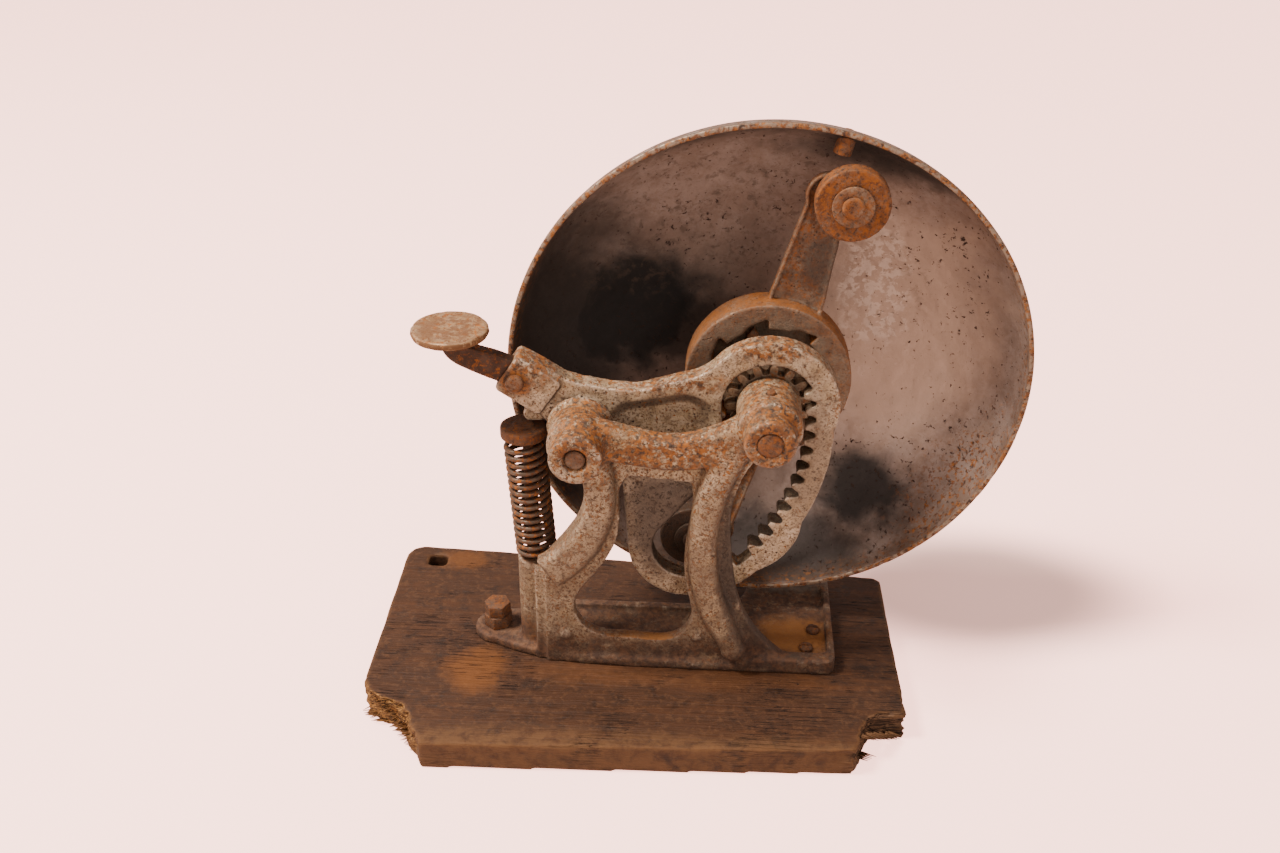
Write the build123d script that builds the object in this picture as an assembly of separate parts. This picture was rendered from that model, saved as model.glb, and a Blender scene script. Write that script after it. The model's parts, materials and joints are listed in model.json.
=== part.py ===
from build123d import *
import os
from math import acos, atan2, cos, degrees, hypot, pi, radians, sin, sqrt, tan

# Foot gong: a treadle lever with an internal gear sector spins a two-armed striker inside a bell,
# and the whole works stands on a board.
# Millimetres. Every piece is drawn about the main shaft: the shaft runs along Y through x = 0, z = 0,
# y = 0 is the plane of the bell's rim and -Y is the open, working side. stand() then lifts each
# piece so that z = 0 is the board's underside.

# ---- driving dimensions ----
board_thickness = 19.0
bell_radius = 152.4
bell_rise = 20.6                # the bell's rim above the board's top
gear_module = 3.175             # eight diametral pitch
pinion_teeth = 14
sector_teeth = 81               # of the full ring that the sector is cut from
pressure_angle = 20.0
pivot_drop = 13.9               # lever pin below the shaft axis
backlash = 0.15                 # taken off each flank
lever_travel = 38.0             # degrees from rest to the pedal's lowest place

running = 0.05                  # radial clearance of a part that turns
static_fit = 0.05               # radial clearance of a part that is fixed
side_gap = 0.3                  # end play between turning parts
thrust_washer_thickness = 1.5
thrust_washer_radius = 12.5
set_screw_radius = 3.0

bell_depth = 72.0
bell_wall = 2.8
crown_seat_radius = 17.0
stud_radius = 5.0
stud_angle = 76.0
stud_y = 6.5
stud_gap = 1.0                  # left between the stud and the hammers at rest
bell_clearance = 0.1            # between the stud's head and the bell's wall
bell_washer_radius = 16.0
bell_washer_thickness = 2.0
bell_nut_height = 11.0
bell_nut_flats = 22.2
bell_spacer_radius = 11.0

shaft_radius = 7.15
shaft_front = -79.0
shaft_thread_end = 91.0
pin_radius = 5.6                # lever pin
pin_washer_thickness = 1.6
pin_washer_radius = 12.0
lock_pin_radius = 2.4           # holds the shaft in its boss
cotter_radius = 1.4

boss_front = -79.0
boss_step = -65.0
boss_radii = (18.3, 14.6)       # shaft boss: behind the step, and in front of it
pin_boss_radii = (17.5, 15.0)   # lever pin boss, the same
boss_round = 1.8
wall_front = -54.0
wall_back = -46.0
rib_front = -63.0
rib_back = -52.0
strut_round = 5.0
leg_round = 5.5
tie_round = 4.5
boss_back = -39.5               # lever pin boss
shaft_boss_back = -33.0        # shaft boss, which reaches into the lever's slot
collar_radius = 19.5
nub_places = ((-115.5, -151.5), (-36.5, -149.5))
nub_radius = 3.2
nub_proud = 2.0

lever_front = -37.0
lever_back = -25.0
lever_panel = 3.0               # depth of the recesses, front and back
panel_steps = 4
panel_slope = 1.6
rim_band = 10.6                 # metal outside the sector's tooth roots
slot_gap = 1.5                  # between the pinion's tips and the slot
lever_hub_radius = 17.0
lever_hub_back = 2.5            # how far the hub stands out behind the lever
socket_proud = 3.5              # how far the socket stands out in front

drum_radius = 48.3
drum_front = -5.0
drum_depth = 20.0
ratchet_teeth = 8
ratchet_tip = 33.0
ratchet_root = 39.5
ratchet_phase = 92.0            # angle of one notch wall
drum_web = 6.0
drum_hub_radius = 16.0
drum_hub_proud = 5.0            # how far the hub stands out behind the drum
pinion_hub_radius = 14.0

carrier_radius = 27.0
carrier_thickness = 4.0
carrier_hub_radius = 13.0
pawl_pin_reach = 19.5           # from the shaft's axis
pawl_pin_radius = 2.5
pawl_thickness = 4.0
pawl_eye_radius = 5.2
leaf_thickness = 0.8
leaf_width = 3.0

arm_angle = 75.5
arm_root_angle = 72.5           # the arm leaves the drum a little ahead of its ear
ear_reach = 113.9
ear_radius = 13.3
arm_front = 3.3
arm_back = 9.3
arm_root_width = 33.0
arm_tip_width = 22.0
arm_rim = 2.2                   # raised edge round each arm, width and height

hammer_reach = 116.5
hammer_angle = 69.7
hammer_radius = 20.7
hammer_front = -8.0
hammer_bore = 5.0
hammer_washer_radius = 11.6
hammer_washer_thickness = 2.0
rivet_head_radius = 6.3
rivet_head_height = 2.6
rivet_tail_radius = 4.0

post_x = -136.0
post_y = -34.8
post_radius = 9.6
post_top = -106.0
spring_radius = 10.8            # to the wire's centre
spring_wire = 1.55              # wire radius
spring_turns = 16.5
spring_top = -24.0
spring_lean = 5.0               # how far the top stands left of the bottom
spring_lift = 0.9               # keeps the leaning bottom turn clear of its seat
cap_radius = 13.6
cap_thickness = 7.0
rod_radius = 4.0

foot_thickness = 6.0
ear_x = -161.5
ear_y = -25.5
ear_plan_radius = 14.5
foot_front = -57.5
foot_right = 48.0
foot_back = 37.0
bolt_radius = 4.7
bolt_hex = 14.3                 # across flats
bolt_head_height = 8.0
bolt_nut_height = 8.2
screw_radius = 2.4
screw_head_radius = 4.2
screw_head_height = 3.0
foot_rail_height = 4.0          # the edges that stand up from the foot's plate
foot_rim_height = 4.5

socket_angle = 146.0            # direction in which the socket points
button_radius = 21.8
button_thickness = 5.0
button_place = (-177.5, -35.5, 39.0)         # underside
bar_thickness = 8.0
bar_widths = (15.5, 15.5, 15.5, 13.0, 11.5)
bar_front = -37.5

# ---- derived ----
shaft_height = bell_radius + bell_rise       # shaft axis above the board's top
shaft_z = board_thickness + shaft_height
ground = -shaft_height                       # underside of the casting
pinion_pitch_radius = gear_module * pinion_teeth / 2
sector_pitch_radius = gear_module * sector_teeth / 2
centre_distance = sector_pitch_radius - pinion_pitch_radius
pivot = (-sqrt(centre_distance ** 2 - pivot_drop ** 2), -pivot_drop)
line_of_centres = degrees(atan2(pivot_drop, -pivot[0]))
pinion_tip_radius = pinion_pitch_radius + 0.9 * gear_module
pinion_root_radius = pinion_pitch_radius - 1.25 * gear_module
sector_tip_radius = sector_pitch_radius - 0.7 * gear_module
sector_root_radius = sector_pitch_radius + 1.25 * gear_module
sector_outer_radius = sector_root_radius + rim_band
slot_half_width = pinion_tip_radius + slot_gap
spring_seat = post_top + spring_lift
drum_back = drum_front + drum_depth
pin_washer_front = lever_back + lever_hub_back + side_gap
cotter_y = pin_washer_front + pin_washer_thickness + cotter_radius + side_gap
hammer_back = arm_front - side_gap
carrier_front = drum_front + 1
pawl_front = carrier_front + carrier_thickness + side_gap
nut_seat = -shaft_height + foot_thickness


# ---- helpers: outlines lie in XZ, and Y is depth ----
def slab(outline, y_front, y_back):
    """Thicken an XZ outline between two Y stations."""
    return extrude(Plane.XZ.offset(-y_back) * outline, amount=y_back - y_front)


def disc(x, z, radius):
    return Pos(x, z) * Circle(radius)


def barrel(x, z, radius, y_front, y_back):
    """A cylinder along Y."""
    return slab(disc(x, z, radius), y_front, y_back)


def tube(x, z, outer, inner, y_front, y_back):
    return slab(disc(x, z, outer) - disc(x, z, inner), y_front, y_back)


def upright(x, y, radius, z_low, z_high):
    """A cylinder along Z."""
    return Pos(x, y, z_low) * extrude(Circle(radius), amount=z_high - z_low)


def polar(radius, angle, about=(0, 0)):
    return (about[0] + radius * cos(radians(angle)), about[1] + radius * sin(radians(angle)))


def strap(a, radius_a, b, radius_b):
    """The outline of a tight belt round two discs."""
    length = hypot(b[0] - a[0], b[1] - a[1])
    heading = degrees(atan2(b[1] - a[1], b[0] - a[0]))
    lean = degrees(acos((radius_a - radius_b) / length))
    corners = [
        polar(radius_a, heading + lean, a),
        polar(radius_b, heading + lean, b),
        polar(radius_b, heading - lean, b),
        polar(radius_a, heading - lean, a),
    ]
    return make_face(Polyline(*corners, close=True)) + disc(*a, radius_a) + disc(*b, radius_b)


def wedge(inner, outer, start, end, about=(0, 0)):
    """Part of a flat ring between two angles."""
    middle = (start + end) / 2
    outline = [
        ThreePointArc(polar(outer, start, about), polar(outer, middle, about), polar(outer, end, about)),
        Line(polar(outer, end, about), polar(inner, end, about)),
        ThreePointArc(polar(inner, end, about), polar(inner, middle, about), polar(inner, start, about)),
        Line(polar(inner, start, about), polar(outer, start, about)),
    ]
    return make_face(outline)


def limb(path, widths, steps=12):
    """A strap that follows a smooth line, as wide at each given point as its width says."""
    centre = Spline(*path)
    left = []
    right = []
    for step in range(steps + 1):
        at = step / steps
        place = centre @ at
        ahead = centre % at
        span = at * (len(widths) - 1)
        low = min(int(span), len(widths) - 2)
        half = (widths[low] + (widths[low + 1] - widths[low]) * (span - low)) / 2
        left.append((place.X - ahead.Y * half, place.Y + ahead.X * half))
        right.append((place.X + ahead.Y * half, place.Y - ahead.X * half))
    sides = [Spline(*left), Line(left[-1], right[-1]), Spline(*reversed(right)), Line(right[0], left[0])]
    return make_face(sides)


def hexagon(across_flats):
    return RegularPolygon(across_flats / sqrt(3), 6)


def stand(piece):
    """Lift a piece from the shaft's axes to the board's."""
    return Pos(0, 0, shaft_z) * piece


def involute(angle):
    return tan(angle) - angle


def flank_half_angle(radius, teeth):
    """Half the angle that an external tooth of this count spans at a radius, in degrees."""
    base = gear_module * teeth / 2 * cos(radians(pressure_angle))
    at_pitch = pi / (2 * teeth) + involute(radians(pressure_angle))
    if radius <= base:
        return degrees(at_pitch)
    return degrees(at_pitch - involute(acos(base / radius)))


# ---- gear train ----
def pinion_outline():
    points = []
    flank_steps = 5
    slack = degrees(backlash / pinion_pitch_radius)
    for tooth in range(pinion_teeth):
        centre = line_of_centres + tooth * 360 / pinion_teeth
        radii = [
            pinion_root_radius + (pinion_tip_radius - pinion_root_radius) * step / flank_steps
            for step in range(flank_steps + 1)
        ]
        for radius in radii:
            points.append(polar(radius, centre - flank_half_angle(radius, pinion_teeth) + slack))
        for radius in reversed(radii):
            points.append(polar(radius, centre + flank_half_angle(radius, pinion_teeth) - slack))
    return make_face(Polyline(*points, close=True))


def sector_tooth(centre):
    """One tooth of the internal sector, its root sunk into the rim."""
    slack = degrees(backlash / sector_pitch_radius)
    half_pitch = 180 / sector_teeth
    flank_steps = 4
    radii = [
        sector_tip_radius + (sector_root_radius - sector_tip_radius) * step / flank_steps
        for step in range(flank_steps + 1)
    ]
    halves = [half_pitch - flank_half_angle(radius, sector_teeth) - slack for radius in radii]
    low_side = [polar(r, centre - h, pivot) for r, h in zip(radii, halves)]
    high_side = [polar(r, centre + h, pivot) for r, h in zip(radii, halves)]
    sunk = sector_root_radius + rim_band / 2
    points = high_side[::-1] + low_side
    points += [polar(sunk, centre - halves[-1], pivot), polar(sunk, centre + halves[-1], pivot)]
    return make_face(Polyline(*points, close=True))


def socket_middle():
    return (pivot[0] - 29.5, pivot[1] + 24.8)


def screw_place():
    return (socket_middle()[0] - 7, socket_middle()[1] + 2.5)


def gear_lever():
    nose = (0, 0)
    nose_radius = slot_half_width + 13.5
    slot_end = line_of_centres - lever_travel - 4
    far = polar(centre_distance, slot_end, pivot)
    lobe = (pivot[0] + 62, pivot[1] - 83)
    lobe_radius = 21.0
    lobe_band = 14.5
    heel = polar(sector_outer_radius - 14, -48, pivot)

    # outer outline: blade, nose round the pinion, rim outside the teeth, lobe at the bottom
    outline = wedge(centre_distance, sector_outer_radius, -48, line_of_centres + 1, pivot)
    outline += disc(*nose, nose_radius)
    outline += strap(lobe, lobe_radius + lobe_band, far, slot_half_width + lobe_band)
    outline += strap(lobe, lobe_radius + lobe_band, heel, 14)
    outline += strap((pivot[0] + 40, pivot[1] - 22), 18, lobe, lobe_radius + lobe_band)
    outline += limb(
        [pivot, (pivot[0] + 30, pivot[1] + 1), (pivot[0] + 56, pivot[1] + 6), nose],
        [52, 42, 48, 2 * nose_radius],
    )
    outline += strap((pivot[0] + 30, pivot[1]), 20, far, slot_half_width)

    # one opening: an arc-shaped slot that the pinion runs in, and a pocket at its lower end
    opening = wedge(
        centre_distance - slot_half_width, sector_root_radius, slot_end, line_of_centres, pivot
    )
    opening += disc(*nose, slot_half_width)
    opening += strap(lobe, lobe_radius, far, slot_half_width)
    opening += wedge(centre_distance, sector_root_radius, -46, slot_end, pivot)
    pitch = 360 / sector_teeth
    tooth_count = 12
    teeth = Sketch()
    for tooth in range(tooth_count):
        teeth += sector_tooth(line_of_centres + pitch * (0.5 - tooth))
    opening -= teeth

    body = slab(outline - opening, lever_front, lever_back)
    body += barrel(*pivot, lever_hub_radius, boss_back + side_gap, lever_back + lever_hub_back)

    # one shallow recess on each face, with sloping sides
    for step in range(panel_steps):
        shrink = step * panel_slope
        depth = lever_panel * (step + 1) / panel_steps
        panel = strap(
            (pivot[0] + 29, pivot[1] + 1), 14 - shrink, (pivot[0] + 58, pivot[1] + 3), 18 - shrink
        )
        body -= slab(panel, lever_front - 1, lever_front + depth)
        body -= slab(panel, lever_back - depth, lever_back + 1)

    # socket for the pedal bar, with its neck, mortise and set screw hole
    block = Pos(*socket_middle()) * Rot(0, 0, socket_angle) * Rectangle(30, 25)
    block = fillet(block.vertices(), 3)
    neck = make_face(Polyline(
        (pivot[0] - 34, pivot[1] + 43), (pivot[0] - 24, pivot[1] + 38), (pivot[0] - 9, pivot[1] + 28.5),
        (pivot[0] + 6, pivot[1] + 24), pivot, (pivot[0] - 14, pivot[1] - 8), (pivot[0] - 25, pivot[1] + 8),
        close=True,
    ))
    body += slab(block, lever_front - socket_proud, lever_back + 1)
    body += slab(neck, lever_front, lever_back)

    # lug that presses the spring's cap
    lug = strap((pivot[0] - 17, pivot[1] + 8), 7, (pivot[0] - 29, pivot[1] + 4.2), 4.5)
    body += slab(lug, lever_front + 2, lever_back - 1)
    mortise = limb(bar_path(), [width + 2 * static_fit for width in bar_widths])
    body -= slab(mortise, bar_front - static_fit, bar_front + bar_thickness + static_fit)
    body -= barrel(*screw_place(), set_screw_radius + static_fit, lever_front - 9, bar_front + 1)
    body -= barrel(*pivot, pin_radius + running, boss_back, lever_back + 8)
    return body


def pinion_gear():
    front = shaft_boss_back + thrust_washer_thickness + side_gap
    blank = barrel(0, 0, pinion_tip_radius + 0.1, front, lever_back + 2)
    blank = chamfer(blank.edges().filter_by(GeomType.CIRCLE).sort_by(Axis.Y)[0], 1.2)
    gear = slab(pinion_outline(), front, lever_back + 2) & blank
    gear += barrel(0, 0, pinion_hub_radius, lever_back + 1, carrier_front)
    return gear - barrel(0, 0, shaft_radius + running, boss_back, carrier_front + 1)


def pawl_pin_places():
    return [polar(pawl_pin_reach, 150 + 180 * side) for side in range(2)]


def pawl_carrier():
    back = carrier_front + carrier_thickness
    plate = barrel(0, 0, carrier_radius, carrier_front, back)
    plate += barrel(0, 0, carrier_hub_radius, back, drum_back - drum_web - side_gap)
    plate -= barrel(0, 0, shaft_radius + running, carrier_front - 1, drum_back)
    for place in pawl_pin_places():
        plate -= barrel(*place, pawl_pin_radius + static_fit, carrier_front - 1, drum_back)
    return plate


def pawl_pins():
    back = pawl_front + pawl_thickness + 0.2
    return [barrel(*place, pawl_pin_radius, carrier_front, back) for place in pawl_pin_places()]


def pawls():
    """Each pawl trails off its pin and ends just inside the ratchet's tips."""
    pieces = []
    back = pawl_front + pawl_thickness
    for side, place in enumerate(pawl_pin_places()):
        turn = 180 * side
        tip = polar(ratchet_tip - 0.6, 106 + turn)
        heel = polar(ratchet_tip - 3.5, 115 + turn)
        inner = polar(ratchet_tip - 6.0, 103 + turn)
        toe = polar(17.0, 125 + turn)
        finger = make_face(Polyline(place, heel, tip, inner, toe, close=True))
        outline = disc(*place, pawl_eye_radius) + finger
        pawl = slab(outline, pawl_front, back)
        pieces.append(pawl - barrel(*place, pawl_pin_radius + running, pawl_front - 1, back + 1))
    return pieces


def pawl_springs():
    """A leaf beside each pawl, set in the carrier's hub."""
    pieces = []
    for side in range(2):
        turn = 180 * side
        start = polar(carrier_hub_radius + 0.6, 60 + turn)
        middle = polar(16.5, 84 + turn)
        end = polar(17.2, 104 + turn)
        leaf = limb([start, middle, end], [leaf_thickness, leaf_thickness])
        pieces.append(slab(leaf, pawl_front, pawl_front + leaf_width))
    return pieces


# ---- striker ----
def ratchet_opening():
    """The drum's inside: notches with one radial wall and one long ramp."""
    opening = disc(0, 0, ratchet_tip)
    pitch = 360 / ratchet_teeth
    for tooth in range(ratchet_teeth):
        wall = ratchet_phase + tooth * pitch
        notch = Polyline(
            polar(ratchet_tip - 2, wall),
            polar(ratchet_root, wall),
            polar((ratchet_root + ratchet_tip) / 2, wall + 0.4 * pitch),
            polar(ratchet_tip - 2, wall + 0.75 * pitch),
            close=True,
        )
        opening += make_face(notch)
    return opening


def arm_outline(angle, inset=0.0):
    root = polar(drum_radius - 6, angle + arm_root_angle - arm_angle)
    ear = polar(ear_reach, angle)
    pin = polar(hammer_reach, angle + hammer_angle - arm_angle)
    across = radians(angle + 90)
    half_root = arm_root_width / 2 - inset
    half_tip = arm_tip_width / 2 - inset
    blade = Polyline(
        (root[0] + half_root * cos(across), root[1] + half_root * sin(across)),
        (ear[0] + half_tip * cos(across), ear[1] + half_tip * sin(across)),
        (ear[0] - half_tip * cos(across), ear[1] - half_tip * sin(across)),
        (root[0] - half_root * cos(across), root[1] - half_root * sin(across)),
        close=True,
    )
    return make_face(blade) + strap(ear, ear_radius - inset, pin, ear_radius - 1 - inset)


def striker():
    body = barrel(0, 0, drum_radius, drum_front, drum_back)
    body -= slab(ratchet_opening(), drum_front - 1, drum_back - drum_web)
    body += barrel(0, 0, drum_hub_radius, drum_back - drum_web, drum_back + drum_hub_proud)
    for angle in (arm_angle, arm_angle + 180):
        arm = slab(arm_outline(angle), arm_front, arm_back)
        arm -= slab(arm_outline(angle, arm_rim), arm_front - 1, arm_front + arm_rim)
        pin = polar(hammer_reach, angle + hammer_angle - arm_angle)
        arm += barrel(*pin, 9.0, arm_front, arm_back)
        arm -= barrel(0, 0, drum_radius - 3, arm_front - 1, arm_back + 1)
        arm -= barrel(*pin, rivet_tail_radius + static_fit, arm_front - 1, arm_back + 1)
        body += arm
    return body - barrel(0, 0, shaft_radius + running, drum_front, drum_back + drum_hub_proud + 1)


def hammer_pins():
    return [polar(hammer_reach, hammer_angle + 180 * side) for side in range(2)]


def hammer(place):
    wheel = barrel(*place, hammer_radius, hammer_front, hammer_back)
    rims = wheel.edges().filter_by(GeomType.CIRCLE).group_by(SortBy.RADIUS)[-1]
    wheel = chamfer(rims, 0.8)
    return wheel - barrel(*place, hammer_bore + running, hammer_front - 1, hammer_back + 1)


def hammer_rivets():
    """Domed head, a shoulder that the hammer turns on, and a tail set in the arm."""
    pieces = []
    head_back = hammer_front - hammer_washer_thickness - 0.1
    for place in hammer_pins():
        head = barrel(*place, rivet_head_radius, head_back - rivet_head_height, head_back)
        front_edge = head.edges().filter_by(GeomType.CIRCLE).sort_by(Axis.Y)[0]
        rivet = fillet(front_edge, rivet_head_height * 0.7)
        rivet += barrel(*place, hammer_bore, head_back, hammer_back + 0.2)
        rivet += barrel(*place, rivet_tail_radius, hammer_back, arm_back)
        rivet += barrel(*place, 6.5, arm_back, arm_back + 2)
        pieces.append(rivet)
    return pieces


def hammer_washers():
    front = hammer_front - hammer_washer_thickness
    return [
        tube(*place, hammer_washer_radius, hammer_bore + static_fit, front, hammer_front - 0.1)
        for place in hammer_pins()
    ]


# ---- bell ----
def bell_curve(radius, depth):
    """Half the bell's section, as x = radius and y = depth behind the rim."""
    rim_slope = radians(30)
    start = (radius, 0)
    steer_out = (radius - 0.3 * radius * sin(rim_slope), 0.3 * radius * cos(rim_slope))
    steer_in = (crown_seat_radius + 0.5 * radius, depth)
    return Bezier(start, steer_out, steer_in, (crown_seat_radius, depth))


def bell():
    inner_radius = bell_radius - bell_wall * 1.15
    inner_depth = bell_depth - bell_wall
    outer = bell_curve(bell_radius, bell_depth)
    inner = bell_curve(inner_radius, inner_depth)
    hole = shaft_radius + static_fit
    section = make_face([
        outer,
        Line((crown_seat_radius, bell_depth), (hole, bell_depth)),
        Line((hole, bell_depth), (hole, inner_depth)),
        Line((hole, inner_depth), (crown_seat_radius, inner_depth)),
        inner,
        Line((inner_radius, 0), (bell_radius, 0)),
    ])
    shell = revolve(section, Axis.Y)
    stud_hole = stud_cylinder(stud_radius * 0.6 + static_fit, bell_radius * 0.8, bell_radius + 10)
    return shell - stud_hole


def bell_hollow():
    """The space inside the bell, a hair short of its wall."""
    radius = bell_radius - bell_wall * 1.15 - bell_clearance
    depth = bell_depth - bell_wall - bell_clearance
    section = make_face([
        bell_curve(radius, depth),
        Line((crown_seat_radius, depth), (0, depth)),
        Line((0, depth), (0, 0)),
        Line((0, 0), (radius, 0)),
    ])
    return revolve(section, Axis.Y)


def stud_cylinder(radius, low, high):
    """A cylinder that points at the shaft from the bell's wall."""
    heading = radians(stud_angle)
    plane = Plane(
        origin=(low * cos(heading), stud_y, low * sin(heading)), z_dir=(cos(heading), 0, sin(heading))
    )
    return extrude(plane * Circle(radius), amount=high - low)


def bell_stud():
    """The knocker that the hammers strike: a peg riveted through the wall."""
    tip = hammer_reach + hammer_radius + stud_gap
    peg = stud_cylinder(stud_radius, tip, bell_radius + 10) & bell_hollow()
    return peg + stud_cylinder(stud_radius * 0.6, tip + 1, bell_radius - 1)


def bell_spacer():
    front = drum_back + drum_hub_proud + side_gap
    back = bell_depth - bell_wall - bell_washer_thickness
    return tube(0, 0, bell_spacer_radius, shaft_radius + static_fit, front, back)


def bell_inner_washer():
    back = bell_depth - bell_wall
    return tube(0, 0, bell_washer_radius, shaft_radius + static_fit, back - bell_washer_thickness, back)


def bell_outer_washer():
    back = bell_depth + bell_washer_thickness
    return tube(0, 0, bell_washer_radius, shaft_radius + static_fit, bell_depth, back)


def bell_nut():
    front = bell_depth + bell_washer_thickness
    nut = slab(hexagon(bell_nut_flats), front, front + bell_nut_height)
    return nut - barrel(0, 0, shaft_radius + static_fit, bell_depth, front + bell_nut_height + 1)


def main_shaft():
    shaft = barrel(0, 0, shaft_radius, shaft_front, shaft_thread_end)
    shaft = chamfer(shaft.edges().filter_by(GeomType.CIRCLE), 0.8)
    return shaft - lock_pin_body(static_fit)


def lock_pin_body(extra=0.0):
    reach = boss_radii[0] + 1
    return upright(0, (boss_step + boss_back) / 2, lock_pin_radius + extra, -reach, reach)


def thrust_washer():
    back = shaft_boss_back + thrust_washer_thickness
    return tube(0, 0, thrust_washer_radius, shaft_radius + static_fit, shaft_boss_back, back)


# ---- frame casting ----
def place(across, up):
    """A point of the frame: across runs from the lever pin (0) to the shaft (1), up from the foot (0) to
    the shaft axis (1)."""
    return (pivot[0] * (1 - across), ground * (1 - up))


def strut_outline():
    path = [pivot, place(0.11, 0.74), place(0.10, 0.65), place(0.03, 0.54), place(-0.07, 0.46),
            place(-0.19, 0.40)]
    return limb(path, [24, 18, 18, 19, 21, 22])


def leg_outline():
    path = [place(0.97, 1.02), place(0.78, 0.85), place(0.70, 0.70), place(0.67, 0.52), place(0.70, 0.36),
            place(0.78, 0.22), place(0.86, 0.11)]
    return limb(path, [24, 19, 18, 16.5, 17.0, 17.5, 14])


def tie_outline():
    path = [pivot, place(0.30, 0.908), place(0.46, 0.892), place(0.62, 0.902), place(0.78, 0.935), (0, 0)]
    return limb(path, [30, 22, 20.5, 21.5, 23, 27])


def wall_outline():
    left_side = Spline(
        (pivot[0] - 8, pivot[1] - 8), place(0.02, 0.71), place(0.0, 0.64), place(-0.09, 0.54),
        place(-0.20, 0.45),
    )
    right_side = Spline(
        (boss_radii[0] - 4, -8), place(0.87, 0.78), place(0.825, 0.66), place(0.828, 0.54),
        place(0.85, 0.40), place(0.90, 0.27), place(1.02, 0.14), place(1.22, 0.03),
    )
    corner = place(1.42, 0.03)
    low_left = (post_x + post_radius - 1, ground)
    return make_face([
        left_side,
        Polyline(left_side @ 1, (low_left[0], post_top - 2), low_left, (corner[0], ground), corner,
                 right_side @ 1),
        right_side,
        Polyline(right_side @ 0, place(0.55, 0.88), place(0.35, 0.88), left_side @ 0),
    ])


def window_outline():
    """The opening between the strut and the leg."""
    points = [
        place(0.27, 0.785), place(0.22, 0.74), place(0.215, 0.62), place(0.16, 0.47), place(0.03, 0.35),
        place(-0.03, 0.29), place(-0.02, 0.19), place(0.08, 0.135), place(0.30, 0.12), place(0.53, 0.13),
        place(0.61, 0.19), place(0.595, 0.32), place(0.575, 0.50), place(0.61, 0.68), place(0.60, 0.765),
    ]
    return make_face([Spline(*points), Line(points[-1], points[0])])


def foot_plan():
    """The foot seen from above, x and y."""
    front = Spline(
        (ear_x, ear_y - ear_plan_radius), (post_x + 9, foot_front + 5), (post_x + 40, foot_front + 1.5),
        (post_x + 95, foot_front),
    )
    rest = Polyline(
        front @ 1, (foot_right, foot_front), (foot_right, foot_back), (foot_right - 46, foot_back),
        (foot_right - 60, 4), (pivot[0] + 65, -3), (post_x + 12, -4), (ear_x, ear_y + ear_plan_radius),
        front @ 0,
    )
    plate = make_face([front, rest])
    sharp = plate.vertices().sort_by(Axis.X)[-2:]
    return fillet(sharp, 7) + Pos(ear_x, ear_y) * Circle(ear_plan_radius)


def rib(outline, edge_radius):
    """A limb standing out from the wall, with its front edges rounded."""
    bar = slab(outline, rib_front, rib_back)
    front = bar.faces().sort_by(Axis.Y)[0]
    return fillet(front.edges(), edge_radius)


def boss(centre, radii, back):
    big = barrel(*centre, radii[0], boss_step, back)
    big = fillet(big.edges().filter_by(GeomType.CIRCLE).sort_by(Axis.Y)[0], boss_round)
    small = barrel(*centre, radii[1], boss_front, boss_step + boss_round + 1)
    small = fillet(small.edges().filter_by(GeomType.CIRCLE).sort_by(Axis.Y)[0], boss_round)
    return big + small


def frame_casting():
    body = slab(wall_outline() - window_outline(), wall_front, wall_back)
    body += rib(strut_outline(), strut_round)
    body += rib(leg_outline(), leg_round)
    body += rib(tie_outline(), tie_round)
    toe = place(0.865, 0.10)
    body += rib(disc(*toe, 8.0), leg_round)
    body += boss(pivot, pin_boss_radii, boss_back)
    body += barrel(*pivot, collar_radius, boss_back - 4, boss_back)
    body += boss((0, 0), boss_radii, shaft_boss_back)
    for spot in nub_places:
        body += barrel(*spot, nub_radius, wall_front - nub_proud, wall_back - 2)

    # spring post: an upright with a flat seat, joined to the wall behind it
    post_plan = Pos(post_x, post_y) * Circle(post_radius) + Pos(post_x + 5, post_y) * Circle(post_radius)
    post_plan += Pos(post_x + 2.5, post_y) * Rectangle(5, 2 * post_radius)
    post_plan += Pos(post_x + 8, (post_y + wall_front) / 2 + 1) * Rectangle(12, post_y - wall_front - 2)
    body += Pos(0, 0, ground) * extrude(post_plan, amount=post_top - ground)

    # foot: plate, raised edge along the back and round the right end
    body += Pos(0, 0, ground) * extrude(foot_plan(), amount=foot_thickness)
    rail = Pos((post_x + pivot[0] + 67) / 2 + 8, -6) * Rectangle(pivot[0] + 55 - post_x, 6)
    body += Pos(0, 0, ground) * extrude(rail, amount=foot_thickness + foot_rail_height)
    right_pad = Pos(foot_right - 30, (foot_front + foot_back) / 2) * Rectangle(60, foot_back - foot_front)
    pocket = Pos(foot_right - 31.5, (foot_front + foot_back) / 2 - 4)
    pocket *= Rectangle(54, foot_back - foot_front - 27)
    rim = (right_pad & foot_plan()) - fillet(pocket.vertices(), 4)
    body += Pos(0, 0, ground) * extrude(rim, amount=foot_thickness + foot_rim_height)

    # fixing holes, bores and the spring rod's guide
    body -= upright(ear_x, ear_y, bolt_radius + 0.5, ground - 1, ground + foot_thickness + 1)
    for spot in screw_places():
        body -= upright(*spot, screw_radius + 0.4, ground - 1, ground + foot_thickness + 1)
    body -= barrel(*pivot, pin_radius + static_fit, boss_front - 1, boss_back + 1)
    body -= barrel(*pivot, pin_radius + 1.4, boss_front - 1, boss_front + 3)
    body -= barrel(0, 0, shaft_radius + static_fit, boss_front - 1, shaft_boss_back + 1)
    body -= lock_pin_body(static_fit)
    rod_depth = spring_top - post_top + 5
    body -= upright(post_x, post_y, rod_radius + running, post_top - rod_depth, post_top + 1)
    return body


def screw_places():
    return [(foot_right - 12, -22), (foot_right - 17, -40)]


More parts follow.
